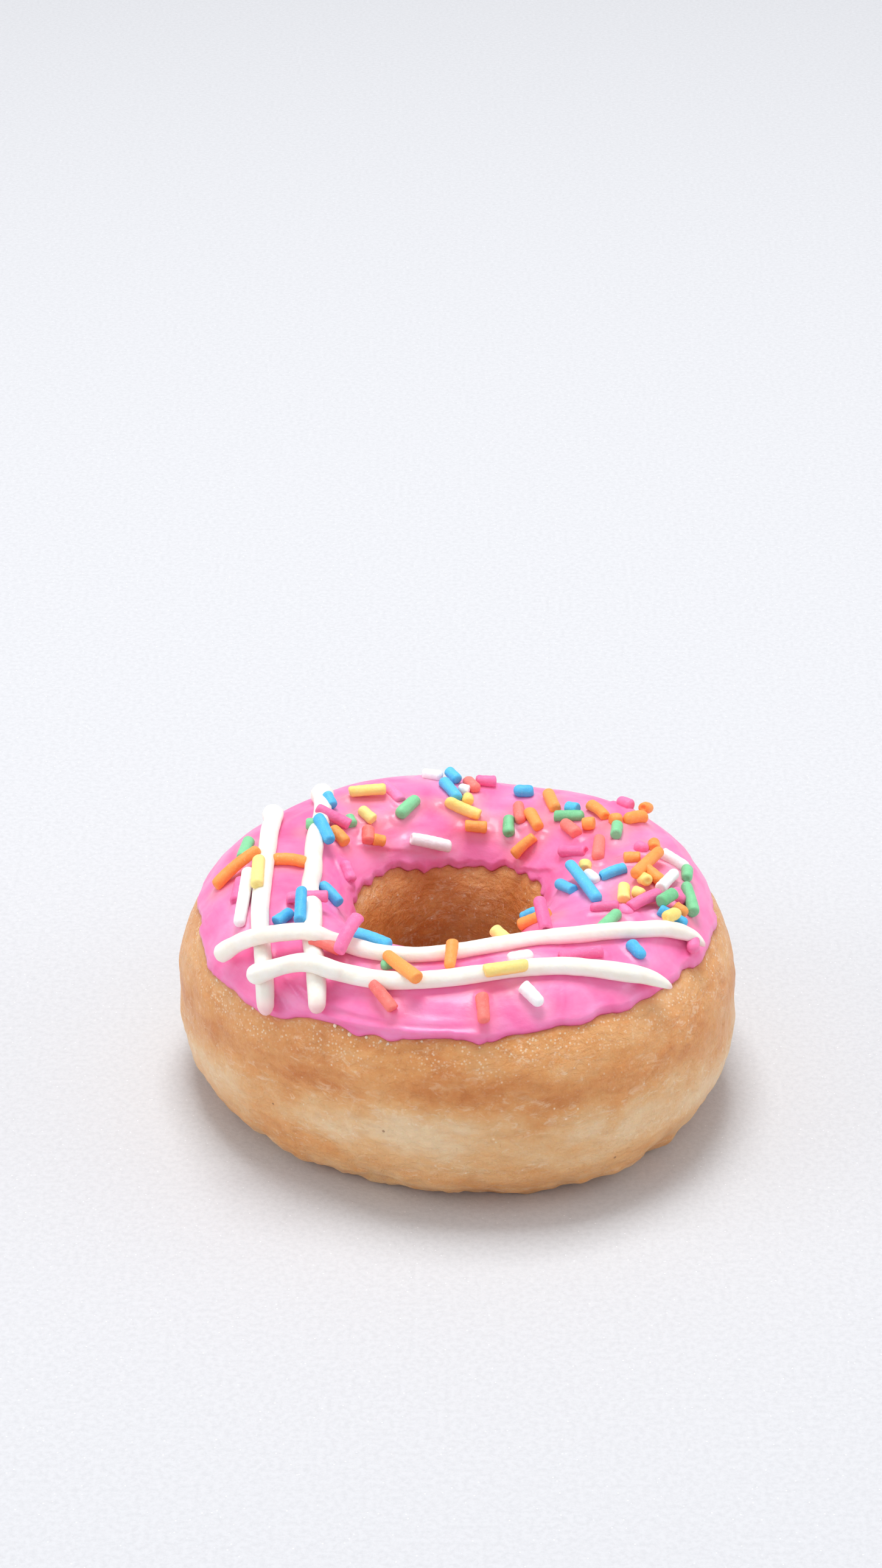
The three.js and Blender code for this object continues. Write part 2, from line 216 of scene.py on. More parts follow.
def stand_for(piece: bpy.types.Object, slot: str, *nodes: str) -> bpy.types.Object:
    """Hides the frame's nodes that a piece stands for, and returns the piece."""
    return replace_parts(piece, *nodes) if nodes else piece


# ---- The ring's form -----------------------------------------------------------------------

Waves = tuple[tuple[float, ...], ...]


@dataclass(frozen=True)
class RingForm:
    """The doughnut's form, in millimetres and degrees, as the frame was made."""

    outer_radius: float = 44.8
    hole_radius: float = 13.2
    dough_height: float = 35.4
    waist_height: float = 15.5
    underside_sag: float = 1.0
    upper_fullness: float = 2.35
    lower_fullness: float = 2.4
    icing_rise: float = 1.7
    line_width: float = 3.0
    line_height: float = 2.6
    line_sunk: float = 0.1
    sprinkle_width: float = 2.0
    sprinkle_sunk: float = 0.3
    outer_hem_slope: float = 44
    inner_hem_slope: float = 141
    rim_waves: Waves = ((1, 0.7, -0.2), (2, 0.4, -0.7), (3, -1.0, 0.25))
    hole_waves: Waves = ((1, -2.2, 0), (2, -0.75, 1.45))
    crest_swells: Waves = ((72, 22, -2.0), (117, 16, 0.7))
    outer_hem_runs: Waves = (
        (212, 16, -9), (200, 2.5, -4), (247, 4, -4), (268, 5, 4), (277, 4, -3), (290, 5, 5),
        (302, 4, 3), (187, 5, 3), (317, 5, -2), (333, 4, -2), (352, 8, -2),
    )
    inner_hem_runs: Waves = (
        (150, 14, -3), (118, 7, -2), (95, 14, 2), (55, 9, -3), (30, 10, -5), (0, 12, -3),
    )
    hem_ripples: Waves = ((23, 0.7, 0.4), (37, 0.4, -0.5))
    outer_hem_knots: Waves = (
        (190, 41.5), (199, 36.5), (203.5, 34), (208.5, 35.5), (213.5, 35.3), (218.5, 34), (222, 33),
        (227, 35), (232, 40), (236, 42.5), (240.5, 43.4), (245, 42.2), (249.5, 42.5), (253, 42.6),
        (255.3, 41.4), (257.8, 44.3), (263, 45.8), (269.5, 46.7), (272.5, 45.6), (274.2, 44.2), (276, 46.1),
        (280, 48.6), (285, 49.1), (290, 50.3), (292.6, 51), (295.7, 48.7), (300.2, 49.8), (304.8, 49.7),
        (309.4, 48), (313.5, 49.3), (319.6, 49), (326.2, 47.1), (331.3, 47.8), (338, 43),
    )
    inner_hem_knots: Waves = (
        (12, 140), (20.6, 139.9), (29.6, 137.8), (42.9, 139.7), (54.2, 139.4), (63.6, 135.6), (72.8, 140),
        (84.6, 140.1), (94.8, 140.9), (102.5, 142.6), (111.1, 145.5), (116, 142.1), (123.2, 140.2),
        (131, 136.8), (137.7, 138), (147.1, 138.1), (160, 137.9), (171, 139.4), (181, 147), (190, 142),
    )
    axis_x: float = 0.0
    axis_y: float = 0.0

    def waves(self, rows: Waves, azimuth: Array) -> Array:
        """Returns the sum of cosine and sine waves round the ring at an azimuth."""
        angle = np.radians(azimuth)
        return sum(cosine * np.cos(n * angle) + sine * np.sin(n * angle) for n, cosine, sine in rows)

    def swells(self, rows: Waves, azimuth: Array) -> Array:
        """Returns the sum of local swells, each a bell curve over the azimuth."""
        return sum(rise * np.exp(-((turned(azimuth - middle) / width) ** 2)) for middle, width, rise in rows)

    def outer(self, azimuth: Array) -> Array:
        """Returns the ring's outer radius at an azimuth."""
        return self.outer_radius + self.waves(self.rim_waves, azimuth)

    def inner(self, azimuth: Array) -> Array:
        """Returns the hole's radius at an azimuth."""
        return self.hole_radius + self.waves(self.hole_waves, azimuth)

    def round_point(self, azimuth: Array, slope: Array) -> Array:
        """Works out the round surface, before the underside is flattened.

        The section is an oval, squarer than an ellipse: its reach across is the sign of cos(slope)
        times |cos(slope)| to the power 2 / fullness, and its height goes the same way by the sine.

        Args:
            azimuth: angles round the ring.
            slope: angles round the section, in an array of the same shape.

        Returns:
            Points with x, y and z last.
        """
        azimuth, slope = np.broadcast_arrays(np.asarray(azimuth, float), np.asarray(slope, float))
        outer, inner = self.outer(azimuth), self.inner(azimuth)
        across, up = np.cos(np.radians(slope)), np.sin(np.radians(slope))
        is_upper = up > 0
        upper_rise = self.dough_height - self.waist_height + self.swells(self.crest_swells, azimuth)
        rise = np.where(is_upper, upper_rise, self.waist_height + self.underside_sag)
        power = 2 / np.where(is_upper, self.upper_fullness, self.lower_fullness)
        radius = (outer + inner) / 2 + (outer - inner) / 2 * np.sign(across) * np.abs(across) ** power
        height = self.waist_height + rise * np.sign(up) * np.abs(up) ** power
        turn = np.radians(azimuth)
        return np.stack(
            [radius * np.cos(turn) + self.axis_x, radius * np.sin(turn) + self.axis_y, height], axis=-1
        )

    def outward(self, azimuth: Array, slope: Array) -> Array:
        """Returns the outward directions, square to the steps round the ring and over the section."""
        step = 0.5
        along = self.round_point(azimuth + step, slope) - self.round_point(azimuth - step, slope)
        over = self.round_point(azimuth, slope + step) - self.round_point(azimuth, slope - step)
        return unit(np.cross(along, over))

    def point(self, azimuth: Array, slope: Array, above: Array | float = 0.0) -> Array:
        """Returns points at a height above the dough's form, never below the table."""
        azimuth, slope = np.asarray(azimuth, float), np.asarray(slope, float)
        lifted = np.asarray(above, float)[..., None] * self.outward(azimuth, slope)
        points = self.round_point(azimuth, slope) + lifted
        points[..., 2] = np.maximum(points[..., 2], 0)
        return points

    def hem(self, azimuth: Array, slope: float, runs: Waves, ripple: float, knots: Waves) -> Array:
        """Works out where a hem of the icing runs.

        The plain hem is its slope plus local swells and ripples; between its knots it is moved to
        pass through them.

        Args:
            azimuth: angles round the ring.
            slope: the hem's usual slope.
            runs: local swells of the hem.
            ripple: 1 or -1, which way the ripples go.
            knots: azimuth and slope of places that it passes through.

        Returns:
            The hem's slopes.
        """
        plain, at_knots = (
            slope + self.swells(runs, turn) + ripple * self.waves(self.hem_ripples, turn)
            for turn in (azimuth, np.array([at for at, _ in knots]))
        )
        at, wanted = np.array(knots, float).T
        return plain + np.interp(azimuth % 360, at, wanted - at_knots, left=0, right=0)

    def outer_hem(self, azimuth: Array) -> Array:
        """Returns the slope where the icing ends on the outside."""
        return self.hem(azimuth, self.outer_hem_slope, self.outer_hem_runs, 1, self.outer_hem_knots)

    def inner_hem(self, azimuth: Array) -> Array:
        """Returns the slope where the icing ends in the hole."""
        return self.hem(azimuth, self.inner_hem_slope, self.inner_hem_runs, -1, self.inner_hem_knots)

    @classmethod
    def from_frame(cls, node: str, ring_steps: int = 56, section_steps: int = 22) -> "RingForm":
        """Sets the form where the frame's dough ring stands.

        Args:
            node: the frame's dough ring.
            ring_steps: sections of the frame's ring.
            section_steps: points of the frame's section.

        Returns:
            The form, its axis moved so that its outline's middle is the node's.
        """
        form = cls()
        azimuth, slope = np.meshgrid(
            np.arange(ring_steps) * 360 / ring_steps, np.arange(section_steps) * 360 / section_steps
        )
        points = form.point(azimuth, slope).reshape(-1, 3)
        low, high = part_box(node)
        middle = np.array((low + high) / 2) / MM
        shift = middle - (points.min(axis=0) + points.max(axis=0)) / 2
        return cls(axis_x=float(shift[0]), axis_y=float(shift[1]))


# ---- Finishes ------------------------------------------------------------------------------


class Recipe:
    """A material's node tree, written as short calls. Patterns sit on Object coordinates."""

    def __init__(self, name: str) -> None:
        """Starts a material with one principled shader."""
        self.material = bpy.data.materials.new(name)
        self.material.use_nodes = True
        self.tree = self.material.node_tree
        self.shader = self.tree.nodes["Principled BSDF"]
        self.place = self.tree.nodes.new("ShaderNodeTexCoord").outputs["Object"]

    def feed(self, socket: Socket, source: "Socket | float | Colour") -> None:
        """Links a socket to another, or sets its own value."""
        if isinstance(source, bpy.types.NodeSocket):
            self.tree.links.new(source, socket)
        else:
            socket.default_value = source

    def number(self, operation: str, *terms: "Socket | float", clamp: bool = False) -> Socket:
        """Returns the result of a math operation on sockets or numbers."""
        node = self.tree.nodes.new("ShaderNodeMath")
        node.operation = operation
        node.use_clamp = clamp
        for socket, term in zip(node.inputs, terms):
            self.feed(socket, term)
        return node.outputs[0]

    def stretched(self, size: float, stretch: tuple[float, float, float]) -> Socket:
        """Returns Object coordinates counted in features of a size in millimetres."""
        node = self.tree.nodes.new("ShaderNodeMapping")
        node.inputs["Scale"].default_value = [1 / (MM * size * s) for s in stretch]
        self.feed(node.inputs["Vector"], self.place)
        return node.outputs[0]

    def noise(
        self,
        size: float,
        detail: float = 3.0,
        roughness: float = 0.55,
        distortion: float = 0.0,
        stretch: tuple[float, float, float] = (1, 1, 1),
    ) -> Socket:
        """Returns cloudy noise from 0 to 1, with features of a size in millimetres."""
        node = self.tree.nodes.new("ShaderNodeTexNoise")
        node.inputs["Scale"].default_value = 1.0
        node.inputs["Detail"].default_value = detail
        node.inputs["Roughness"].default_value = roughness
        node.inputs["Distortion"].default_value = distortion
        self.feed(node.inputs["Vector"], self.stretched(size, stretch))
        return node.outputs[0]

    def cells(self, size: float, stretch: tuple[float, float, float] = (1, 1, 1)) -> Socket:
        """Returns the distance to scattered points that stand a size in millimetres apart."""
        node = self.tree.nodes.new("ShaderNodeTexVoronoi")
        node.inputs["Scale"].default_value = 1.0
        self.feed(node.inputs["Vector"], self.stretched(size, stretch))
        return node.outputs["Distance"]

    def between(self, value: Socket, low: float, high: float, top: float = 1.0) -> Socket:
        """Returns a smooth step from 0 at low to top at high."""
        node = self.tree.nodes.new("ShaderNodeMapRange")
        node.interpolation_type = "SMOOTHSTEP"
        self.feed(node.inputs["Value"], value)
        for name, bound in (("From Min", low), ("From Max", high), ("To Min", 0.0), ("To Max", top)):
            node.inputs[name].default_value = bound
        return node.outputs[0]

    def carried(self, name: str, output: str) -> Socket:
        """Returns one output of what the mesh carries at each point under a name."""
        node = self.tree.nodes.new("ShaderNodeAttribute")
        node.attribute_name = name
        return node.outputs[output]

    def value(self, name: str) -> Socket:
        """Returns a value that the mesh carries at each point."""
        return self.carried(name, "Fac")

    def carried_colour(self, name: str) -> Socket:
        """Returns a colour that the mesh carries at each point."""
        return self.carried(name, "Color")

    def ramp(self, value: Socket, *stops: tuple[float, Colour]) -> Socket:
        """Returns the colour that a value picks from stops."""
        node = self.tree.nodes.new("ShaderNodeValToRGB")
        elements = node.color_ramp.elements
        while len(elements) < len(stops):
            elements.new(0.5)
        for element, (position, colour) in zip(elements, stops):
            element.position = position
            element.color = colour
        self.feed(node.inputs["Fac"], value)
        return node.outputs["Color"]

    def blend(self, share: "Socket | float", first: "Socket | Colour", second: "Socket | Colour") -> Socket:
        """Returns the first colour with a share of the second laid over it."""
        node = self.tree.nodes.new("ShaderNodeMix")
        node.data_type = "RGBA"
        factor, a, b = node.inputs[0], node.inputs[6], node.inputs[7]
        self.feed(factor, share)
        self.feed(a, first)
        self.feed(b, second)
        return node.outputs[2]

    def relief(self, height: Socket, depth: float, under: Socket | None = None) -> Socket:
        """Returns the normals of a relief of a depth in millimetres, over another relief if given."""
        node = self.tree.nodes.new("ShaderNodeBump")
        node.inputs["Distance"].default_value = depth * MM
        self.feed(node.inputs["Height"], height)
        if under is not None:
            self.feed(node.inputs["Normal"], under)
        return node.outputs[0]

    def finish(
        self, colour: Socket, roughness: Socket, normal: Socket, **constants: object
    ) -> bpy.types.Material:
        """Links the shader's colour, roughness and normal, and sets its other sockets.

        Args:
            colour: the base colour.
            roughness: the roughness.
            normal: the normals of the relief.
            constants: values of other sockets, by their names with _ for a space.

        Returns:
            The material.
        """
        self.feed(self.shader.inputs["Base Color"], colour)
        self.feed(self.shader.inputs["Roughness"], roughness)
        self.feed(self.shader.inputs["Normal"], normal)
        for name, constant in constants.items():
            self.shader.inputs[name.replace("_", " ")].default_value = constant
        return self.material


@dataclass(frozen=True)
class DoughFinish:
    """Fried yeast dough: golden skin, paler at the belt, browner in the hole, painted shade on its underside,
    under a thin glaze.
    """

    pale: Colour = paint(240, 208, 166)
    straw: Colour = paint(234, 184, 128)
    golden: Colour = paint(228, 160, 94)
    brown: Colour = paint(208, 124, 54)
    deep: Colour = paint(180, 90, 32)
    sugar: Colour = paint(248, 224, 194)
    speck: Colour = paint(130, 80, 45)
    # Rim along the icing's hems: partly caramelised dough, partly painted shade under the icing's edge.
    hem_stain_and_shade_colour: Colour = paint(214, 112, 78)

    def material(self) -> bpy.types.Material:
        """Returns the dough's material."""
        r = Recipe("fried_dough")
        clouds = r.noise(13, detail=3, stretch=(1.3, 1.3, 0.6))
        patches = r.noise(4.5, detail=4, roughness=0.6, distortion=0.5, stretch=(1.5, 1.5, 0.8))
        pores = r.noise(0.8, detail=4, roughness=0.65)
        # The brownness value read here also carries painted shade on the ring's underside.
        baked_and_shaded = r.number("MULTIPLY_ADD", r.number("SUBTRACT", clouds, 0.5), 0.6, r.value("bake_and_underside_shade"))
        baked_and_shaded = r.number("MULTIPLY_ADD", r.number("SUBTRACT", patches, 0.5), 0.5, baked_and_shaded)
        baked_and_shaded = r.number("MULTIPLY_ADD", r.number("SUBTRACT", pores, 0.5), 0.2, baked_and_shaded, clamp=True)
        colour = r.ramp(
            baked_and_shaded,
            (0.05, self.pale), (0.3, self.straw), (0.52, self.golden), (0.76, self.brown), (1.0, self.deep),
        )
        drifts = r.between(r.noise(6, detail=3, stretch=(1.6, 1.6, 0.8)), 0.42, 0.62)
        film = r.noise(1.3, detail=5, roughness=0.7, distortion=0.9, stretch=(1.7, 1.7, 0.8))
        filmed = r.number("MULTIPLY", r.between(film, 0.5, 0.66, 0.6), r.value("film"))
        washed = r.number("MULTIPLY", r.between(film, 0.5, 0.68, 0.45), drifts)
        sugary = r.number("MAXIMUM", filmed, washed)
        upright = r.noise(0.9, detail=5, roughness=0.7, distortion=0.6, stretch=(0.9, 0.9, 1.7))
        in_hole = r.number("MULTIPLY", r.between(upright, 0.54, 0.7, 0.5), r.value("hole"))
        sugary = r.number("MAXIMUM", sugary, r.number("MULTIPLY", in_hole, drifts))
        stipple = r.between(r.cells(0.6), 0.42, 0.14, 0.75)
        stippled = r.number("MULTIPLY", stipple, r.between(r.noise(3.2, detail=3), 0.34, 0.58))
        near_hem = r.number("MULTIPLY", stippled, r.value("frosted"))
        sugary = r.number("MAXIMUM", sugary, near_hem)
        colour = r.blend(sugary, colour, self.sugar)
        crystals = r.between(r.cells(1.7), 0.14, 0.06, 0.8)
        colour = r.blend(r.number("MULTIPLY", crystals, drifts), colour, self.sugar)
        specks = r.between(r.cells(6.5), 0.05, 0.022, 0.7)
        colour = r.blend(specks, colour, self.speck)
        # Painted shade and caramelised dough: the rim along the icing's hems is darkened.
        colour = r.blend(r.number("MULTIPLY", r.value("hem_stain_and_shade"), 0.5), colour, self.hem_stain_and_shade_colour)
        wrinkles = r.noise(1.9, detail=5, roughness=0.62, distortion=1.2, stretch=(1.2, 1.2, 0.8))
        normal = r.relief(wrinkles, 0.5)
        normal = r.relief(pores, 0.25, normal)
        normal = r.relief(r.noise(0.32, detail=3), 0.06, normal)
        roughness = r.number("MULTIPLY_ADD", film, 0.4, 0.22)
        return r.finish(
            colour, roughness, normal,
            Subsurface_Weight=0.35, Subsurface_Radius=(1.0, 0.5, 0.22), Subsurface_Scale=2.6 * MM,
            Specular_IOR_Level=0.45, Coat_Weight=0.16, Coat_Roughness=0.3,
        )


@dataclass(frozen=True)
class IcingFinish:
    """Soft pink icing: satin where a spatula drew it out, redder where it thins to its hems, deeper rose in
    its hollows as painted shade, and tinted near each sprinkle partly by dye and partly by painted reflected
    colour.
    """

    pink: Colour = paint(255, 122, 180)
    light: Colour = paint(255, 148, 198)
    rose: Colour = paint(247, 94, 160)
    thin: Colour = paint(240, 92, 150)

    def material(self) -> bpy.types.Material:
        """Returns the icing's material."""
        r = Recipe("pink_icing")
        clouds = r.noise(9, detail=3, distortion=0.8)
        streaks = r.noise(2.6, detail=4, roughness=0.6, stretch=(2.4, 2.4, 0.7))
        tone = r.number("MULTIPLY_ADD", streaks, 0.35, r.number("MULTIPLY", clouds, 0.65))
        colour = r.ramp(tone, (0.3, self.rose), (0.46, self.pink), (0.66, self.light))
        # Painted shade: the hollows of the icing's relief are turned deeper rose.
        colour = r.blend(r.number("MULTIPLY", r.value("hollow"), 0.35), colour, self.rose)
        # Sprinkle colour near each sprinkle: partly dye bleed, partly painted reflected colour.
        dye_and_reflected_share = r.value("dye_and_reflected_share")
        colour = r.blend(r.number("MULTIPLY", dye_and_reflected_share, 0.3), colour, r.carried_colour("dye_and_reflected_tint"))
        colour = r.blend(r.number("MULTIPLY", r.value("thin"), 0.8), colour, self.thin)
        normal = r.relief(streaks, 0.16)
        normal = r.relief(r.noise(0.8, detail=4, roughness=0.6), 0.05, normal)
        roughness = r.number("MULTIPLY_ADD", r.noise(3.2, detail=4), 0.34, 0.22)
        return r.finish(
            colour, roughness, normal,
            Subsurface_Weight=0.5, Subsurface_Radius=(1.0, 0.4, 0.6), Subsurface_Scale=1.8 * MM,
            Specular_IOR_Level=0.5, Coat_Weight=0.15, Coat_Roughness=0.22,
        )


@dataclass(frozen=True)
class PipedFinish:
    """Ivory piped icing, smooth and satin, with painted reflected pink light as a peach tint on its
    underside, where it lies against the pink.
    """

    ivory: Colour = paint(252, 248, 240)
    cream: Colour = paint(248, 240, 228)
    # A peach tint standing in for pink light reflected onto the line's underside.
    reflected_pink_glow: Colour = paint(252, 216, 204)
    blush: Colour = paint(246, 178, 190)

    def material(self) -> bpy.types.Material:
        """Returns the piped icing's material."""
        r = Recipe("piped_icing")
        clouds = r.noise(3.5, detail=3)
        grain = r.noise(0.5, detail=4, roughness=0.65)
        colour = r.ramp(clouds, (0.35, self.cream), (0.6, self.ivory))
        # Painted reflected light: the underside facing the pink icing is tinted peach.
        colour = r.blend(r.number("MULTIPLY", r.value("low"), 0.75), colour, self.reflected_pink_glow)
        colour = r.blend(r.value("melted"), colour, self.blush)
        normal = r.relief(r.noise(1.6, detail=3), 0.12)
        normal = r.relief(grain, 0.05, normal)
        roughness = r.number("MULTIPLY_ADD", grain, 0.25, 0.3)
        return r.finish(
            colour, roughness, normal,
            Subsurface_Weight=0.35, Subsurface_Radius=(1.0, 0.75, 0.6), Subsurface_Scale=1.2 * MM,
            Specular_IOR_Level=0.45,
        )


class SprinkleColour(Enum):
    """A sprinkle's colour: the name of the record's slot, its lit colour and its shaded colour."""

    GREEN = ("sprinkle_green", paint(136, 214, 160), paint(106, 192, 134))
    ORANGE = ("sprinkle_orange", paint(255, 166, 84), paint(255, 140, 58))
    YELLOW = ("sprinkle_yellow", paint(255, 232, 146), paint(255, 216, 112))
    WHITE = ("sprinkle_white", paint(253, 250, 253), paint(246, 238, 246))
    BLUE = ("sprinkle_blue", paint(92, 198, 244), paint(56, 170, 232))
    PINK = ("sprinkle_pink", paint(248, 126, 178), paint(234, 98, 156))
    CORAL = ("sprinkle_coral", paint(254, 134, 124), paint(244, 108, 104))
    ROSE = ("sprinkle_pink", paint(254, 138, 192), paint(242, 110, 170))

    @property
    def slot(self) -> str:
        """The record's material slot."""
        return self.value[0]

    @property
    def lit(self) -> Colour:
        """The colour of the sprinkle's skin."""
        return self.value[1]

    @property
    def shaded(self) -> Colour:
        """The darker copy of the colour: painted shade on the underside, and random darker patches."""
        return self.value[2]


@dataclass(frozen=True)
class SprinkleFinish:
    """Pressed sugar: satin, faintly powdery, deeper in colour on its underside as painted shade."""

    colour: SprinkleColour

    def material(self) -> bpy.types.Material:
        """Returns the sprinkle's material."""
        r = Recipe(f"sugar_{self.colour.name.lower()}")
        clouds = r.noise(1.6, detail=3)
        powder = r.noise(0.28, detail=4, roughness=0.7)
        tone = r.number("MULTIPLY_ADD", clouds, 0.8, r.number("MULTIPLY", r.value("tone"), 0.25))
        # Painted shade: the underside is moved towards the shaded colour.
        tone = r.number("MULTIPLY_ADD", r.value("underside_shade"), 0.45, tone, clamp=True)
        colour = r.ramp(tone, (0.35, self.colour.lit), (0.95, self.colour.shaded))
        chalk = tuple(0.55 * c + 0.45 for c in self.colour.lit[:3]) + (1.0,)
        colour = r.blend(r.between(powder, 0.56, 0.72, 0.4), colour, chalk)
        normal = r.relief(r.noise(0.9, detail=3), 0.12)
        normal = r.relief(powder, 0.045, normal)
        roughness = r.number("MULTIPLY_ADD", powder, 0.35, 0.3)
        return r.finish(
            colour, roughness, normal,
            Subsurface_Weight=0.2, Subsurface_Radius=(1.0, 0.8, 0.8), Subsurface_Scale=0.6 * MM,
            Specular_IOR_Level=0.4,
        )


@dataclass(frozen=True)
class GlazeFinish:
    """Beads of clear sugar glaze."""

    clear: Colour = paint(242, 192, 148)
    sugar: Colour = paint(252, 226, 204)

    def material(self) -> bpy.types.Material:
        """Returns the glaze's material."""
        r = Recipe("sugar_glaze")
        mist = r.noise(0.6, detail=3)
        colour = r.ramp(mist, (0.35, self.clear), (0.65, self.sugar))
        roughness = r.number("MULTIPLY_ADD", mist, 0.2, 0.1)
        return r.finish(
            colour, roughness, r.relief(mist, 0.04),
            Subsurface_Weight=0.5, Subsurface_Radius=(1.0, 0.8, 0.6), Subsurface_Scale=0.8 * MM,
            Specular_IOR_Level=0.7,
        )


@dataclass(frozen=True)
class TableFinish:
    """Pale, very slightly grainy board."""

    pale: Colour = paint(214, 215, 219)
    shade: Colour = paint(206, 207, 211)
    glint: Colour = paint(246, 246, 250)

    def material(self) -> bpy.types.Material:
        """Returns the table's material."""
        r = Recipe("pale_board")
        grain = r.noise(0.9, detail=3, roughness=0.7)
        colour = r.ramp(grain, (0.35, self.shade), (0.6, self.pale))
        colour = r.blend(r.between(r.cells(1.6), 0.1, 0.05, 0.6), colour, self.glint)
        roughness = r.number("MULTIPLY_ADD", grain, 0.2, 0.55)
        return r.finish(colour, roughness, r.relief(grain, 0.06), Specular_IOR_Level=0.3)


# ---- The dough -----------------------------------------------------------------------------


@dataclass
class DoughRing:
    """The yeast ring: one skin all round, lumpy at its foot, wrinkled at its belt."""

    form: RingForm
    ring_points: int = 480
    section_points: int = 200
    belt_slope: float = -12.0
    belt_rise: float = 11.0
    belt_above: float = 8.0
    belt_below: float = 15.0
    broad_lump: float = 0.35
    small_lump: float = 0.16
    foot_lump: float = 0.65
    wrinkle: float = 0.12
    grain: Grain = field(default_factory=lambda: Grain(11))

    def uncovered(self, azimuth: Array, slope: Array) -> Array:
        """Returns 0 well under the icing and 1 from a little inside its hems outwards."""
        inside = np.minimum(slope - self.form.outer_hem(azimuth), self.form.inner_hem(azimuth) - slope)
        return 1 - ease(inside, 0, 5)

    def above_belt(self, azimuth: Array, slope: Array) -> Array:
        """Returns how many degrees a slope is above the belt, which is lower at the ring's sides."""
        points = self.form.round_point(azimuth, slope)
        drift = 4 * self.grain.at(points + 77, 16) + 3.5 * self.grain.layered(points - 63, 6, 3)
        front = ease(-np.sin(np.radians(azimuth)), 0, 1)
        return turned(slope) - self.belt_slope - self.belt_rise * front - drift

    def relief(self, azimuth: Array, slope: Array) -> Array:
        """Works out how far the skin stands off the plain form.

        The sum of broad lumps, small lumps, narrow wrinkles and larger lumps at the foot, each
        smooth random relief times its height, faded out where the icing covers it.

        Args:
            azimuth: angles round the ring.
            slope: angles round the section, from 0 to 360.

        Returns:
            Heights in millimetres.
        """
        points = self.form.round_point(azimuth, slope)
        foot = np.exp(-(((turned(slope) + 52) / 24) ** 2))
        broad = self.broad_lump * self.grain.at(points, 13)
        small = self.small_lump * self.grain.layered(points + 31, 4.5, 2)
        wrinkles = self.wrinkle * (self.grain.creased(points - 17, (3.4, 3.4, 2.0)) - 1)
        fine = 0.05 * self.grain.at(points + 53, 1.3)
        at_foot = self.foot_lump * foot * self.grain.layered(points - 41, 5.5, 3)
        belt_dip = -0.3 * np.exp(-(((self.above_belt(azimuth, slope) - 12) / 5) ** 2))
        return (broad + small + wrinkles + fine + at_foot + belt_dip) * self.uncovered(azimuth, slope)

    def bake_and_underside_shade(self, azimuth: Array, slope: Array) -> Array:
        """Returns how brown the skin is: palest along the belt, brownest in the hole, with painted shade
        darkening the underside.
        """
        side = turned(slope)
        off = self.above_belt(azimuth, slope)
        belt = np.exp(-((off / np.where(off > 0, self.belt_above, self.belt_below)) ** 2))
        strength = 0.28 + 0.14 * self.grain.at(self.form.round_point(azimuth, slope) + 19, 12)
        outside = 0.43 + 0.08 * ease(off, -12, 7) + 0.1 * np.exp(-(((off - 18) / 9) ** 2))
        # Painted shade: the last term darkens the underside, from 57 to 76 degrees below the waist.
        outside = outside - strength * belt + 0.5 * ease(-side, 57, 76)
        depth = ease(np.abs(turned(slope - 180)), 75, 0)
        inside = 0.44 + 0.22 * depth
        facing_hole = ease(-np.cos(np.radians(slope)), -0.1, 0.35)
        return outside * (1 - facing_hole) + inside * facing_hole

    def surface(self) -> Surface:
        """Works out the whole skin.

        A grid of azimuth by slope, each point set off the plain form along its outward direction by
        the relief, and no point below the table.

        Returns:
            The skin, with its values for brownness (with painted shade on the underside), hole, film,
            frosted, and the rim along the icing's hems (partly caramelised dough, partly painted shade).
        """
        azimuth, slope = np.meshgrid(
            np.arange(self.ring_points) * 360 / self.ring_points,
            np.arange(self.section_points) * 360 / self.section_points,
            indexing="ij",
        )
        points = self.form.point(azimuth, slope, self.relief(azimuth, slope))
        side = turned(slope)
        beyond_inner = slope - self.form.inner_hem(azimuth)
        outside_gap = np.where(np.abs(side) < 90, self.form.outer_hem(azimuth) - side, 90)
        hem_gap = np.minimum(np.abs(outside_gap), np.abs(beyond_inner))
        belt_film = 0.8 * np.exp(-(((self.above_belt(azimuth, slope) - 7) / 6) ** 2))
        values = {
            "bake_and_underside_shade": self.bake_and_underside_shade(azimuth, slope),
            "hole": ease(-np.cos(np.radians(slope)), 0.0, 0.5),
            "film": belt_film + 0.6 * ease(-side, 18, 45),
            "frosted": ease(outside_gap, 0.2, 2) * (1 - 0.85 * ease(outside_gap, 7, 24)),
            # Rim along both hems: partly caramelised dough, partly painted shade under the icing's edge.
            "hem_stain_and_shade": np.exp(-((hem_gap / 1.6) ** 2)),
        }
        return Surface(
            points.reshape(-1, 3),
            wrapped_faces(self.ring_points, self.section_points),
            {name: value.ravel() for name, value in values.items()},
        )

    def build(self, finish: DoughFinish) -> bpy.types.Object:
        """Returns the finished dough ring."""
        return stand_for(put_down("fried_ring", self.surface(), finish.material()), "dough", "dough_ring")


# ---- The sprinkles -------------------------------------------------------------------------


@dataclass(frozen=True)
class Rod:
    """Where one sprinkle lies, in millimetres."""

    name: str
    colour: SprinkleColour
    start: Array
    end: Array
    bow: Array
    node: str | None = None

    @property
    def length(self) -> float:
        """The distance between its tips."""
        return float(np.linalg.norm(self.end - self.start))

    def distance(self, points: Array) -> Array:
        """Returns how far points are from the sprinkle's middle line."""
        along = self.end - self.start
        share = np.clip((points - self.start) @ along / (along @ along), 0, 1)
        nearest = self.start + share[..., None] * along + (4 * share * (1 - share))[..., None] * self.bow
        return np.linalg.norm(points - nearest, axis=-1)


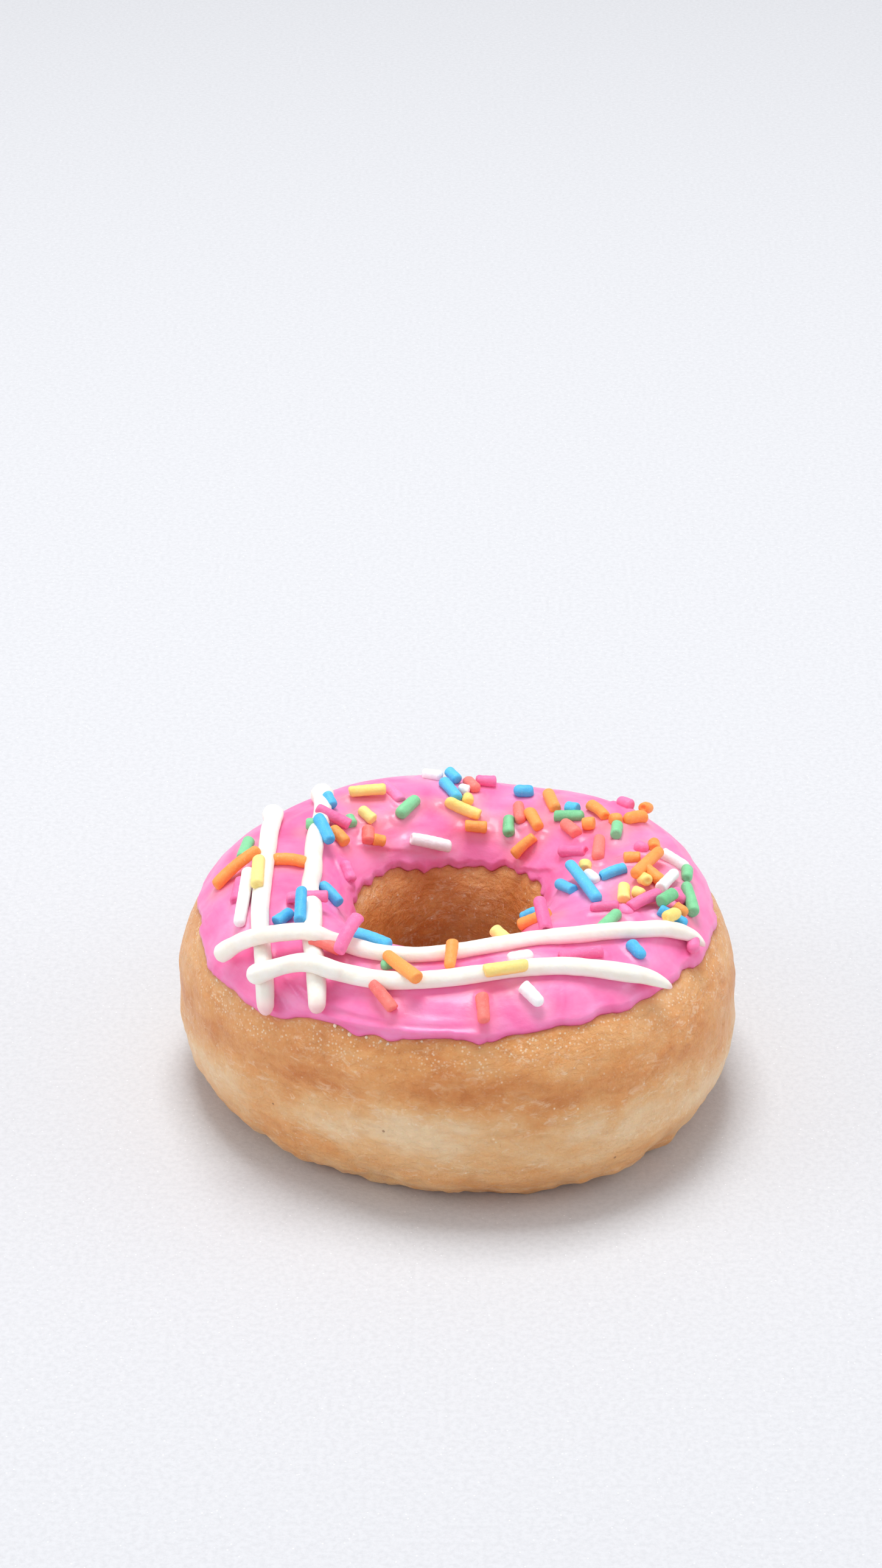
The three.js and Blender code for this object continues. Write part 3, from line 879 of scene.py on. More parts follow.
ExtraRow = tuple[SprinkleColour, float, float, float, float, float, float]
GREEN, ORANGE, YELLOW, WHITE = (
    SprinkleColour.GREEN, SprinkleColour.ORANGE, SprinkleColour.YELLOW, SprinkleColour.WHITE
)
BLUE, PINK, CORAL, ROSE = SprinkleColour.BLUE, SprinkleColour.PINK, SprinkleColour.CORAL, SprinkleColour.ROSE

# Small and half-buried sprinkles: colour, then azimuth, slope and level at each tip.
SMALL_SPRINKLES: tuple[ExtraRow, ...] = (
    (PINK, 185, 77, -0.1, 194, 71, -0.1),
    (BLUE, 211, 80, 0.1, 209, 89.5, 0.2),
    (ROSE, 159, 119, -0.2, 167, 129, -0.2),
    (GREEN, 153, 93, 0.45, 149, 100, 0.5),
    (BLUE, 135, 86, 0.75, 137, 91, 0.2),
    (GREEN, 137, 101, 0, 139, 106, 0),
    (ORANGE, 136, 119, 0.1, 132, 122, 0.1),
    (YELLOW, 130, 100, 0.1, 129.5, 109.5, 0.1),
    (CORAL, 133.5, 111, 0, 140, 119, 0.1),
    (ROSE, 115, 86, -0.15, 113.5, 102, -0.15),
    (PINK, 149, 105.5, -0.05, 147, 110, -0.1),
    (BLUE, 94, 80, 0.5, 91, 87, 0.2),
    (WHITE, 101.5, 80, 0.1, 95.5, 83, 0.1),
    (WHITE, 91, 92, 0.1, 87.5, 93.5, 0.1),
    (PINK, 85.5, 83, 0.1, 79.5, 81, 0.1),
    (YELLOW, 88, 97, 0.1, 87.5, 102.5, 0.1),
    (BLUE, 49, 94, 0.1, 44.5, 93, 0.1),
    (ORANGE, 32.5, 97.5, 0.3, 33.5, 99, 0.3),
    (ORANGE, 31, 89, 0.2, 30.5, 86, 0.2),
    (ORANGE, 36, 66, 0.25, 37.5, 60, 0.25),
    (PINK, 43, 71, 0.05, 38.5, 69, 0.05),
    (PINK, 14, 87, 0, 11, 82.5, 0),
    (ORANGE, 16, 78, 0, 11.5, 79.5, 0),
    (ORANGE, 6, 92, 0.05, 6, 86.5, 0.05),
    (ORANGE, 357, 85.5, 0.5, 352, 77.5, 0.15),
    (GREEN, 3, 66, 0.15, 358, 66.5, 0.15),
    (YELLOW, 353, 86, 0.1, 349, 83.5, 0.5),
    (YELLOW, 342.5, 86.5, 0.3, 342, 84, 0.3),
    (BLUE, 359.5, 122, 0, 345, 112, 0),
    (YELLOW, 6.5, 108.5, 0.05, 4, 108.5, 0.05),
    (WHITE, 358, 107.5, 0, 350, 102, 0),
    (PINK, 328.5, 98, 0, 334, 89.5, 0),
    (ROSE, 334.5, 89, -0.25, 332.5, 84, -0.25),
    (GREEN, 339, 75.5, 0.65, 345.5, 72, 0.65),
    (YELLOW, 332.5, 70, 0.85, 337.5, 67, 0.85),
    (ORANGE, 342.5, 70, 0.1, 342, 63, 0.1),
    (PINK, 351.5, 72, -0.1, 347, 66.5, -0.1),
    (BLUE, 337, 130, -0.15, 334, 139, 0.25),
    (ORANGE, 314, 131, 0.05, 322, 115, 0.05),
    (GREEN, 248.5, 81, 0.05, 254, 88, 0.05),
    (WHITE, 284.5, 89, 0.1, 292.5, 88.5, 0.1),
    (PINK, 338, 56.5, 0.05, 332, 52, 0.05),
)


@dataclass
class Sprinkles:
    """All the sprinkles: pressed sugar rods, each a little bent, lumpy and broken at its ends."""

    form: RingForm
    sides: int = 18
    cap_points: int = 5
    corner_points: int = 5
    body_points: int = 14
    seed: int = 23

    def from_frame(self, nodes: dict[str, bpy.types.Object]) -> list[Rod]:
        """Reads where each sprinkle of the frame lies.

        Its middle line is the longest direction of its points, its tips are the two points
        furthest along it, and its bow is how far its middle stands off the line between them.

        Args:
            nodes: the frame's nodes by name.

        Returns:
            The sprinkles in the order of their names.
        """
        rods = []
        for name in sorted(n for n in nodes if n.startswith("sprinkle_")):
            mesh = nodes[name].data
            points = np.zeros(3 * len(mesh.vertices))
            mesh.vertices.foreach_get("co", points)
            points = points.reshape(-1, 3) / MM
            axis = np.linalg.svd(points - points.mean(axis=0), full_matrices=False)[2][0]
            reach = points @ axis
            start, end = points[reach.argmin()], points[reach.argmax()]
            middle = (start + end) / 2
            near_middle = np.abs(reach - middle @ axis) < (end - start) @ axis / 4
            bow = points[near_middle].mean(axis=0) - middle
            bow -= (bow @ axis) * axis
            colour = SprinkleColour[name.rsplit("_", 1)[1].upper()]
            rods.append(Rod(name.replace("sprinkle", "rod"), colour, start, end, bow / MIDDLE_BOW, name))
        return rods

    def small_ones(self, first_number: int) -> list[Rod]:
        """Returns the small sprinkles that the frame leaves out."""
        rods = []
        for number, (colour, *place) in enumerate(SMALL_SPRINKLES, first_number):
            tips = [
                self.form.point(azimuth, slope, self.form.icing_rise + self.bed(level))
                for azimuth, slope, level in (place[:3], place[3:])
            ]
            name = f"rod_{number:02d}_{colour.name.lower()}"
            rods.append(Rod(name, colour, tips[0], tips[1], np.zeros(3)))
        return rods

    def bed(self, level: float) -> float:
        """Returns how high above the icing a sprinkle's middle line lies at a level."""
        return self.form.sprinkle_width / 2 - self.form.sprinkle_sunk + level * self.form.sprinkle_width

    def surface(self, rod: Rod, rng: np.random.Generator) -> Surface:
        """Works out one sprinkle.

        A profile is carried along the rod's bent middle line: a flat or hollow end, a rounded
        corner, and a body whose girth swells and tapers a little. Each end has its own roundness,
        hollow and slant.

        Args:
            rod: where it lies.
            rng: draws its own shape.

        Returns:
            The sprinkle, with its values tone and the painted shade on its underside.
        """
        girth = self.form.sprinkle_width / 2 * rng.uniform(0.95, 1.06)
        half = max(rod.length / 2, girth)
        axis = unit(rod.end - rod.start)
        helper = np.array([0.0, 0.0, 1.0]) if abs(axis[2]) < 0.8 else np.array([1.0, 0.0, 0.0])
        sideways = unit(np.cross(helper, axis))
        upwards = np.cross(axis, sideways)

        ends = []
        for _ in range(2):
            corner = rng.choice([0.35, 0.55, 0.9], p=[0.4, 0.35, 0.25])
            hollow = rng.choice([0.0, 0.22], p=[0.65, 0.35]) if corner < 0.8 else 0.0
            flat = np.linspace(0, 1 - corner, self.cap_points)[1:]
            bend = np.linspace(0, math.pi / 2, self.corner_points + 1)[1:]
            radial = np.concatenate([flat, 1 - corner + corner * np.sin(bend)])
            dent = hollow * (1 - (flat / (1 - corner)) ** 2)
            inset = np.concatenate([dent, corner * (1 - np.cos(bend))]) * girth
            ends.append((radial, inset, hollow * girth))
        (radial_a, inset_a, dent_a), (radial_b, inset_b, dent_b) = ends
        body = np.linspace(-half + inset_a[-1], half - inset_b[-1], self.body_points + 2)[1:-1]
        station = np.concatenate([-half + inset_a, body, (half - inset_b)[::-1]])
        radial = np.concatenate([radial_a, np.ones(self.body_points), radial_b[::-1]])

        share = station / half
        turn = np.arange(self.sides) * 2 * np.pi / self.sides
        taper = rng.uniform(-0.08, 0.08)
        waist = rng.uniform(-0.07, 0.05)
        wobble = rng.uniform(0, 2 * np.pi, 4)
        swell = 1 + taper * share + waist * (1 - share**2)
        swell = swell[:, None] * (
            1 + 0.035 * np.sin(2 * turn + wobble[0])[None, :]
            + 0.025 * np.sin(3 * turn[None, :] + 2.5 * share[:, None] + wobble[1])
            + 0.02 * np.sin(5 * share[:, None] * half + wobble[2])
        )
        reach = girth * radial[:, None] * swell
        slant = rng.uniform(-0.16, 0.16, 2)
        tilt = np.where(share > 0, slant[1], slant[0]) * ease(np.abs(share), 0.5, 1.0)
        lean = tilt[:, None] * reach * np.cos(turn + wobble[3])[None, :]
        bend_way = math.cos(wobble[3]) * sideways + abs(math.sin(wobble[3])) * upwards
        own_bend = rng.uniform(0, 0.025) * half * bend_way
        arch = (rod.bow + own_bend) * (1 - share**2)[:, None]
        middle = (rod.start + rod.end) / 2 + arch + station[:, None] * axis
        ring = sideways * np.cos(turn)[:, None] + upwards * np.sin(turn)[:, None]
        rows = middle[:, None, :] + reach[..., None] * ring[None, :, :] + lean[..., None] * axis
        first = (rod.start + rod.end) / 2 - (half - dent_a) * axis
        last = (rod.start + rod.end) / 2 + (half - dent_b) * axis
        points = np.concatenate([first[None], rows.reshape(-1, 3), last[None]])
        low = -(points - (rod.start + rod.end) / 2) @ upwards / girth
        values = {
            "tone": np.full(len(points), rng.uniform(-1, 1)),
            # Painted shade on the sprinkle's downward side.
            "underside_shade": ease(low, 0.35, 1.0),
        }
        return Surface(points, capped_faces(len(station), self.sides), values)

    def build(self, rods: list[Rod]) -> list[bpy.types.Object]:
        """Returns the finished sprinkles."""
        finishes = {colour: SprinkleFinish(colour).material() for colour in SprinkleColour}
        rng = np.random.default_rng(self.seed)
        pieces = []
        for rod in rods:
            piece = put_down(rod.name, self.surface(rod, rng), finishes[rod.colour])
            pieces.append(stand_for(piece, rod.colour.slot, *([rod.node] if rod.node else [])))
        return pieces


# ---- The piped lines -----------------------------------------------------------------------


def smooth_path(knots: Array, stations: int) -> Array:
    """Draws a smooth path through points, with stations spread evenly by length.

    Between two knots it is the cubic whose end directions come from the knots on both sides,
    each step counted by the square root of its length.

    Args:
        knots: the points it passes through.
        stations: how many points to return.

    Returns:
        The path's points.
    """
    ends = np.concatenate([[2 * knots[0] - knots[1]], knots, [2 * knots[-1] - knots[-2]]])
    p0, p1, p2, p3 = ends[:-3], ends[1:-2], ends[2:-1], ends[3:]
    step0, step1, step2 = (
        np.linalg.norm(b - a, axis=1)[:, None] ** 0.5 for a, b in ((p0, p1), (p1, p2), (p2, p3))
    )
    leave = ((p1 - p0) / step0 - (p2 - p0) / (step0 + step1) + (p2 - p1) / step1) * step1
    arrive = ((p2 - p1) / step1 - (p3 - p1) / (step1 + step2) + (p3 - p2) / step2) * step1
    t = np.linspace(0, 1, CURVE_POINTS)[:-1][None, :, None]
    curve = (
        (2 * t**3 - 3 * t**2 + 1) * p1[:, None] + (t**3 - 2 * t**2 + t) * leave[:, None]
        + (3 * t**2 - 2 * t**3) * p2[:, None] + (t**3 - t**2) * arrive[:, None]
    ).reshape(-1, 3)
    curve = np.concatenate([curve, knots[-1:]])
    travelled = np.concatenate([[0], np.cumsum(np.linalg.norm(np.diff(curve, axis=0), axis=1))])
    wanted = np.linspace(0, travelled[-1], stations)
    return np.stack([np.interp(wanted, travelled, curve[:, k]) for k in range(3)], axis=-1)


@dataclass(frozen=True)
class Line:
    """One piped line: its knots as azimuth, slope and level, and how its ends are drawn in."""

    node: str
    knots: tuple[tuple[float, float, float], ...]
    start_taper: float
    end_taper: float
    start_bulge: float = 0.0
    end_bulge: float = 0.0
    melted_end: float = 0.0


PIPED_LINES = (
    Line(
        "piped_line_left",
        (
            (147, 69, 0), (151.5, 76.5, 0), (160, 82.5, 0), (169, 86.5, 0), (179, 87.8, 0), (189, 86.5, 0),
            (203.5, 78.5, 0), (210.5, 71.5, 0), (216.5, 63.5, 0), (222, 52, 0), (225, 42, 0), (226.5, 36, 0),
        ),
        start_taper=1.2, end_taper=1.8, start_bulge=0.22, end_bulge=-0.12, melted_end=3.5,
    ),
    Line(
        "piped_line_inner",
        (
            (131.5, 75, 0), (135, 83, 0), (144, 93, 0), (155.5, 100, 0), (168, 105.5, 0), (180, 108.5, 0),
            (193, 106, 0), (205, 102, 0), (216, 93.5, 0), (224.5, 83, 0), (230, 74, 0), (234, 64.5, 0),
            (237, 54, 0), (238.5, 46, 0),
        ),
        start_taper=1.2, end_taper=1.6, start_bulge=0.3, end_bulge=-0.08, melted_end=2.5,
    ),
    Line(
        "piped_line_across_back",
        (
            (206.5, 47.5, 0.1), (212, 60.5, 0.6), (216.5, 66.5, 1), (222.5, 76, 0.9), (227, 79.5, 1),
            (231, 83, 0.5), (235, 87, 0.1), (244.5, 88.5, 0), (254.5, 90.5, 0), (266, 95, 0), (281, 99.5, 0),
            (297, 97.5, 0), (310, 90, 0), (318.5, 84, 0), (325, 76.5, 0), (332, 66.5, 0), (335.5, 56, 0),
            (336, 49, 0),
        ),
        start_taper=1.2, end_taper=8, start_bulge=0.1, melted_end=1.5,
    ),
    Line(
        "piped_line_across_front",
        (
            (220.5, 49, 0.9), (224.5, 56, 0.9), (226.5, 61, 0.6), (230, 65, 0.7), (234, 66.5, 0.9),
            (238.5, 68, 0.5), (241, 70, 0.1), (249, 71.5, 0), (256, 73.5, 0), (265, 77, 0), (275.5, 80.5, 0),
            (286.5, 81.5, 0), (297.5, 77.5, 0), (304, 71.5, 0), (310, 64, 0), (314.5, 57.5, 0),
            (317.5, 51, 0), (319, 46.5, 0),
        ),
        start_taper=1.5, end_taper=9, start_bulge=0.12, melted_end=1.5,
    ),
)


@dataclass
class PipedLines:
    """Four soft ropes of icing squeezed from a round nozzle."""

    form: RingForm
    stations: int = 320
    sides: int = 28
    slump: float = 0.1
    grain: Grain = field(default_factory=lambda: Grain(37))

    def middle(self, line: Line) -> Array:
        """Returns the line's middle path."""
        azimuth, slope, level = np.array(line.knots, float).T
        bed = self.form.line_height / 2 - self.form.line_sunk
        height = self.form.icing_rise + bed + level * self.form.line_height
        return smooth_path(self.form.point(azimuth, slope, height), self.stations)

    def surface(self, line: Line) -> Surface:
        """Works out one line.

        A round section, wider at its foot than at its top, is carried along the middle path. Its
        girth swells and shrinks a little, faint grooves run along it, and over each end's taper
        it is drawn in as a quarter ellipse is.

        Args:
            line: its knots and ends.

        Returns:
            The line, with its values low, which marks the underside for painted reflected pink light, and
            melted.
        """
        path = self.middle(line)
        tangent = unit(np.gradient(path, axis=0))
        flat = path - [self.form.axis_x, self.form.axis_y, 0]
        azimuth = np.degrees(np.arctan2(flat[:, 1], flat[:, 0]))
        outer, inner = self.form.outer(azimuth), self.form.inner(azimuth)
        reach = (np.linalg.norm(flat[:, :2], axis=1) - (outer + inner) / 2) / ((outer - inner) / 2) ** 2
        rise = (flat[:, 2] - self.form.waist_height) / (self.form.dough_height - self.form.waist_height) ** 2
        away = np.radians(azimuth)
        normal = np.stack([reach * np.cos(away), reach * np.sin(away), rise], axis=-1)
        normal = unit(normal - np.sum(normal * tangent, axis=1, keepdims=True) * tangent)
        sideways = np.cross(normal, tangent)

        travelled = np.concatenate([[0], np.cumsum(np.linalg.norm(np.diff(path, axis=0), axis=1))])
        total = travelled[-1]
        from_start = np.clip(travelled / line.start_taper, 0, 1)
        from_end = np.clip((total - travelled) / line.end_taper, 0, 1)
        full = np.sqrt(from_start * (2 - from_start)) * np.sqrt(from_end * (2 - from_end))
        bulge = 1 + line.start_bulge * np.exp(-(((travelled - 2.2) / 1.8) ** 2))
        bulge += line.end_bulge * np.exp(-(((total - travelled) / 3) ** 2))
        girth = full * bulge * (1 + 0.05 * self.grain.at(path, 6) + 0.03 * self.grain.at(path + 9, 2.2))

        turn = np.arange(self.sides) * 2 * np.pi / self.sides
        across, up = np.cos(turn), np.sin(turn)
        groove = 1 + 0.018 * np.cos(7 * turn[None, :] + 0.05 * travelled[:, None])
        width = self.form.line_width / 2 * (1 - self.slump * up) * across
        height = self.form.line_height / 2 * np.where(up < 0, 0.92 * up, up)
        points = (
            path[:, None, :]
            + (girth[:, None] * width[None, :] * groove)[..., None] * sideways[:, None, :]
            + (girth[:, None] * height[None, :] * groove)[..., None] * normal[:, None, :]
        )
        kept = points[1:-1]
        kept = kept + 0.035 * self.grain.at(kept, 1.1)[..., None] * normal[1:-1, None, :]
        # The underside, which takes painted reflected pink light.
        low = np.broadcast_to(ease(-up, -0.15, 0.8), kept.shape[:2])
        left = (total - travelled)[1:-1]
        melted = np.broadcast_to(
            (1 - ease(left, 0, max(line.melted_end, 0.1)))[:, None] * 0.7, kept.shape[:2]
        )
        values = {
            name: np.concatenate([[value[0, 0]], value.ravel(), [value[-1, 0]]])
            for name, value in (("low", low), ("melted", melted))
        }
        return Surface(
            np.concatenate([path[:1], kept.reshape(-1, 3), path[-1:]]),
            capped_faces(self.stations - 2, self.sides),
            values,
        )

    def build(self, finish: PipedFinish) -> list[bpy.types.Object]:
        """Returns the finished lines."""
        material = finish.material()
        return [
            stand_for(
                put_down(line.node.replace("line", "rope"), self.surface(line), material),
                "piped_icing",
                line.node,
            )
            for line in PIPED_LINES
        ]


# ---- The icing -----------------------------------------------------------------------------


@dataclass(frozen=True)
class Fold:
    """A low ridge in the icing: azimuth, slope and height along it, and its width on either side."""

    crest: tuple[tuple[float, float, float], ...]
    hole_side: float
    rim_side: float

    def rise(self, azimuth: Array, slope: Array) -> Array:
        """Returns the ridge's height, a bell curve over the slope with its own width on either side."""
        along, crest, height = np.array(self.crest, float).T
        off = SKIN_PER_DEGREE * (slope - np.interp(azimuth, along, crest))
        width = np.where(off > 0, self.hole_side, self.rim_side)
        return np.interp(azimuth, along, height, left=0, right=0) * np.exp(-((off / width) ** 2))


ICING_FOLDS = (
    Fold(
        (
            (238, 45, 0), (243.8, 46.6, 0.5), (249.6, 47.3, 0.6), (256.6, 48.3, 0.65), (263.3, 48.4, 0.6),
            (270, 48.4, 0.55), (275.3, 49.4, 0.5), (279, 49.6, 0),
        ),
        hole_side=0.9, rim_side=0.35,
    ),
    Fold(
        ((238, 54, 0), (241, 53.2, 0.3), (249, 52.6, 0.4), (256, 52.6, 0.35), (263, 53.8, 0.3), (276, 56, 0)),
        hole_side=1.2, rim_side=0.5,
    ),
    Fold(((225, 57.5, 0), (227, 56, 0.4), (231, 51.5, 0.45), (234, 48.3, 0)), hole_side=0.6, rim_side=0.3),
    Fold(((228, 57.8, 0), (231, 56, 0.4), (234, 54, 0.35), (236, 52.5, 0)), hole_side=0.6, rim_side=0.3),
    Fold(((224.9, 49.4, 0), (226.5, 47, 0.3), (229, 43, 0.3), (230, 41.5, 0)), hole_side=0.5, rim_side=0.3),
    Fold(
        ((101, 136.2, 0), (115, 132.4, 0.25), (129.5, 126.1, 0.35), (141, 119, 0.3), (147.5, 112.4, 0)),
        hole_side=0.4, rim_side=1.3,
    ),
    Fold(
        ((20, 121, 0), (28, 126.5, 0.35), (37, 131.4, 0.4), (47.7, 134.3, 0.35), (58.5, 135, 0)),
        hole_side=0.5, rim_side=1.2,
    ),
    Fold(
        ((302, 55, 0), (308, 58.5, 0.22), (313.6, 61.9, 0.3), (319, 63.5, 0.25), (326, 66, 0)),
        hole_side=1.6, rim_side=0.9,
    ),
)


@dataclass
class Icing:
    """The coat of pink icing: a thin shell with ragged hems, drawn over the crest with a spatula."""

    form: RingForm
    dough: DoughRing
    ring_points: int = 600
    top_points: int = 122
    under_points: int = 18
    edge_bluntness: float = 0.35
    end_crowding: float = 0.5
    clearance: float = 0.04
    ragged: float = 0.45
    stroke: float = 0.16
    swell: float = 0.22
    meniscus: float = 0.42
    teeth_radius: float = 44
    stroke_radius: float = 32
    inner_calm: float = 3
    inner_seed: float = 60
    hem_to_hem: float = 97
    grain: Grain = field(default_factory=lambda: Grain(5))

    def teeth(self, azimuth: Array, depth: float, seed: float) -> Array:
        """Returns a hem's small teeth in degrees of slope; the seed sets the two hems apart."""
        angle = np.radians(azimuth)
        radius = self.teeth_radius
        height = np.full_like(azimuth, seed)
        around = np.stack([radius * np.cos(angle), radius * np.sin(angle), height], axis=-1)
        return depth * (self.grain.at(around, 1.6) + 0.5 * self.grain.at(around + 13, 0.9))

    def stroked(self, azimuth: Array, slope: Array) -> Array:
        """Returns the spatula's low ridges, long round the ring and narrow over it."""
        angle = np.radians(azimuth + 0.12 * slope)
        radius = self.stroke_radius
        drawn = np.stack([radius * np.cos(angle), radius * np.sin(angle), SKIN_PER_DEGREE * slope], axis=-1)
        ridges = self.grain.at(drawn, (13, 13, 2.6)) + 0.6 * self.grain.at(drawn + 7, (8, 8, 1.3))
        return ridges * (0.45 + 0.55 * ease(self.grain.at(drawn - 19, (18, 18, 9)), -0.3, 0.4))

    def surface(self, rods: list[Rod], ropes: list[Array]) -> Surface:
        """Works out the coat.

        Over the top it runs from hem to hem at the icing's rise times sin(pi * across) to the
        power of the edge bluntness, plus swells, spatula ridges, a bead inside each hem, and a
        small climb up everything that is stuck in it. Underneath it lies close on the dough.

        Args:
            rods: the sprinkles on it.
            ropes: the middle paths of the lines on it.

        Returns:
            The coat, with its values thin, hollow (painted shade in its hollows), and the sprinkle tint with
            its share, partly dye and partly painted reflected colour.
        """
        across = np.linspace(0, 1, self.top_points)
        across = across - self.end_crowding * np.sin(2 * np.pi * across) / (2 * np.pi)
        under = np.linspace(1, 0, self.under_points + 2)[1:-1]
        over = np.concatenate([across, under])
        azimuth, share = np.meshgrid(
            np.arange(self.ring_points) * 360 / self.ring_points, over, indexing="ij"
        )
        outer = self.form.outer_hem(azimuth) + self.teeth(azimuth, self.ragged, 0.0)
        calmer = self.ragged / self.inner_calm
        inner = self.form.inner_hem(azimuth) + self.teeth(azimuth, calmer, self.inner_seed)
        slope = outer + (inner - outer) * share
        is_top = np.zeros(share.shape, bool)
        is_top[:, : self.top_points] = True

        skin = self.dough.relief(azimuth, slope) + self.clearance
        swell = np.sin(np.pi * share) ** self.edge_bluntness
        points = self.form.round_point(azimuth, slope)
        stroke = self.stroked(azimuth, slope)
        edge = np.minimum(share, 1 - share) * self.hem_to_hem * SKIN_PER_DEGREE
        bead = 0.16 * np.exp(-(((edge - 1.1) / 0.75) ** 2)) * (0.6 + 0.6 * self.grain.at(points, 5))
        folds = sum(fold.rise(azimuth, slope) for fold in ICING_FOLDS)
        relief = self.swell * self.grain.at(points, 9) + self.stroke * stroke + bead + folds
        rise = self.form.icing_rise * swell + relief * ease(edge, 0, 1.2)
        height = skin + np.where(is_top, np.maximum(rise, 0), 0)
        laid = self.form.point(azimuth, slope, height)

        climb = np.zeros(share.shape)
        # Each sprinkle's colour laid on the icing round it: partly dye bleed, partly painted reflected
        # colour.
        dye_and_reflected_tint = np.zeros((*share.shape, 3))
        weight = np.zeros(share.shape)
        radius = self.form.sprinkle_width / 2
        for rod in rods:
            gap = np.maximum(rod.distance(laid) - radius, 0)
            climb = np.maximum(climb, np.exp(-((gap / 0.55) ** 2)))
            near = np.exp(-((gap / 1.5) ** 2))
            weight += near
            dye_and_reflected_tint += near[..., None] * np.array(rod.colour.lit[:3])
        for rope in ropes:
            gap = np.full(share.shape, np.inf)
            for place in rope[::4]:
                gap = np.minimum(gap, np.linalg.norm(laid - place, axis=-1))
            beyond = np.maximum(gap - self.form.line_width / 2, 0)
            climb = np.maximum(climb, 0.8 * np.exp(-((beyond / 0.5) ** 2)))
        climb *= is_top
        laid = self.form.point(azimuth, slope, height + self.meniscus * climb)
        dye_and_reflected_tint = dye_and_reflected_tint / np.maximum(weight, 1e-6)[..., None]
        values = {
            "thin": np.where(is_top, 1 - ease(edge, 0.0, 0.8), 1.0) * (1 - 0.65 * ease(slope, 96, 112)),
            # Painted shade where the relief dips into hollows.
            "hollow": ease(-(relief - bead), 0.05, 0.4),
            "dye_and_reflected_share": 1 - np.exp(-weight),
        }
        packed = {name: value.ravel() for name, value in values.items()}
        packed["dye_and_reflected_tint"] = np.concatenate([dye_and_reflected_tint, np.ones((*share.shape, 1))], axis=-1).reshape(-1, 4)
        return Surface(laid.reshape(-1, 3), wrapped_faces(self.ring_points, len(over)), packed)

    def build(self, rods: list[Rod], ropes: list[Array], finish: IcingFinish) -> bpy.types.Object:
        """Returns the finished icing."""
        coat = put_down("icing_coat", self.surface(rods, ropes), finish.material())
        return stand_for(coat, "icing", "icing")


@dataclass
class GlazeBeads:
    """Beads of clear glaze that crept out from under the icing's hem and set."""

    form: RingForm
    places: tuple[tuple[float, float, float], ...] = (
        (241.5, 42.8, 0.34), (243.6, 41.6, 0.2), (245.5, 40.4, 0.38), (249.5, 41.2, 0.3),
        (253, 40.8, 0.34), (254.6, 40.2, 0.26), (258, 43, 0.2), (262, 44.4, 0.24),
        (274.4, 43.2, 0.26), (296, 47.6, 0.24), (205, 33.4, 0.28), (219, 33, 0.28),
    )
    flatness: float = 0.6
    rows: int = 9
    sides: int = 14

    def surface(self) -> Surface:
        """Works out all the beads.

        Each is a ball, its circles' radius sin(t) and their height -cos(t), pressed flat along the
        dough's outward direction.

        Returns:
            The beads as one surface of closed shells.
        """
        azimuth, slope, radius = np.array(self.places).T
        centre = self.form.point(azimuth, slope, 0.2 * radius)
        outward = self.form.outward(azimuth, slope)
        across = unit(np.cross(outward, [0.0, 0.0, 1.0]))
        frames = np.stack([across, np.cross(outward, across), self.flatness * outward], axis=1)
        t = np.linspace(0, np.pi, self.rows + 2)[1:-1]
        turn = np.arange(self.sides) * 2 * np.pi / self.sides
        rings = np.stack(
            [
                np.outer(np.sin(t), np.cos(turn)),
                np.outer(np.sin(t), np.sin(turn)),
                -np.outer(np.cos(t), np.ones(self.sides)),
            ],
            axis=-1,
        ).reshape(-1, 3)
        ball = np.concatenate([[[0, 0, -1]], rings, [[0, 0, 1]]])
        points = centre[:, None] + radius[:, None, None] * np.einsum("pk,bkc->bpc", ball, frames)
        faces = [
            tuple(corner + number * len(ball) for corner in face)
            for number in range(len(self.places)) for face in capped_faces(self.rows, self.sides)
        ]
        return Surface(points.reshape(-1, 3), faces)

    def build(self, finish: GlazeFinish) -> bpy.types.Object:
        """Returns the finished beads."""
        return stand_for(put_down("glaze_beads", self.surface(), finish.material()), "icing")


# ---- The studio ----------------------------------------------------------------------------


@dataclass(frozen=True)
class SoftBox:
    """A square soft light, in metres and watts."""

    name: str
    place: tuple[float, float, float]
    size: float
    power: float

    def build(self) -> bpy.types.Object:
        """Returns the light, turned to the doughnut."""
        light = bpy.data.lights.new(self.name, "AREA")
        light.shape = "SQUARE"
        light.size = self.size
        light.energy = self.power
        lamp = bpy.data.objects.new(self.name, light)
        bpy.context.scene.collection.objects.link(lamp)
        lamp.location = self.place
        lamp.rotation_euler = (Vector((0, 0, 0.015)) - Vector(self.place)).to_track_quat("-Z", "Y").to_euler()
        return lamp


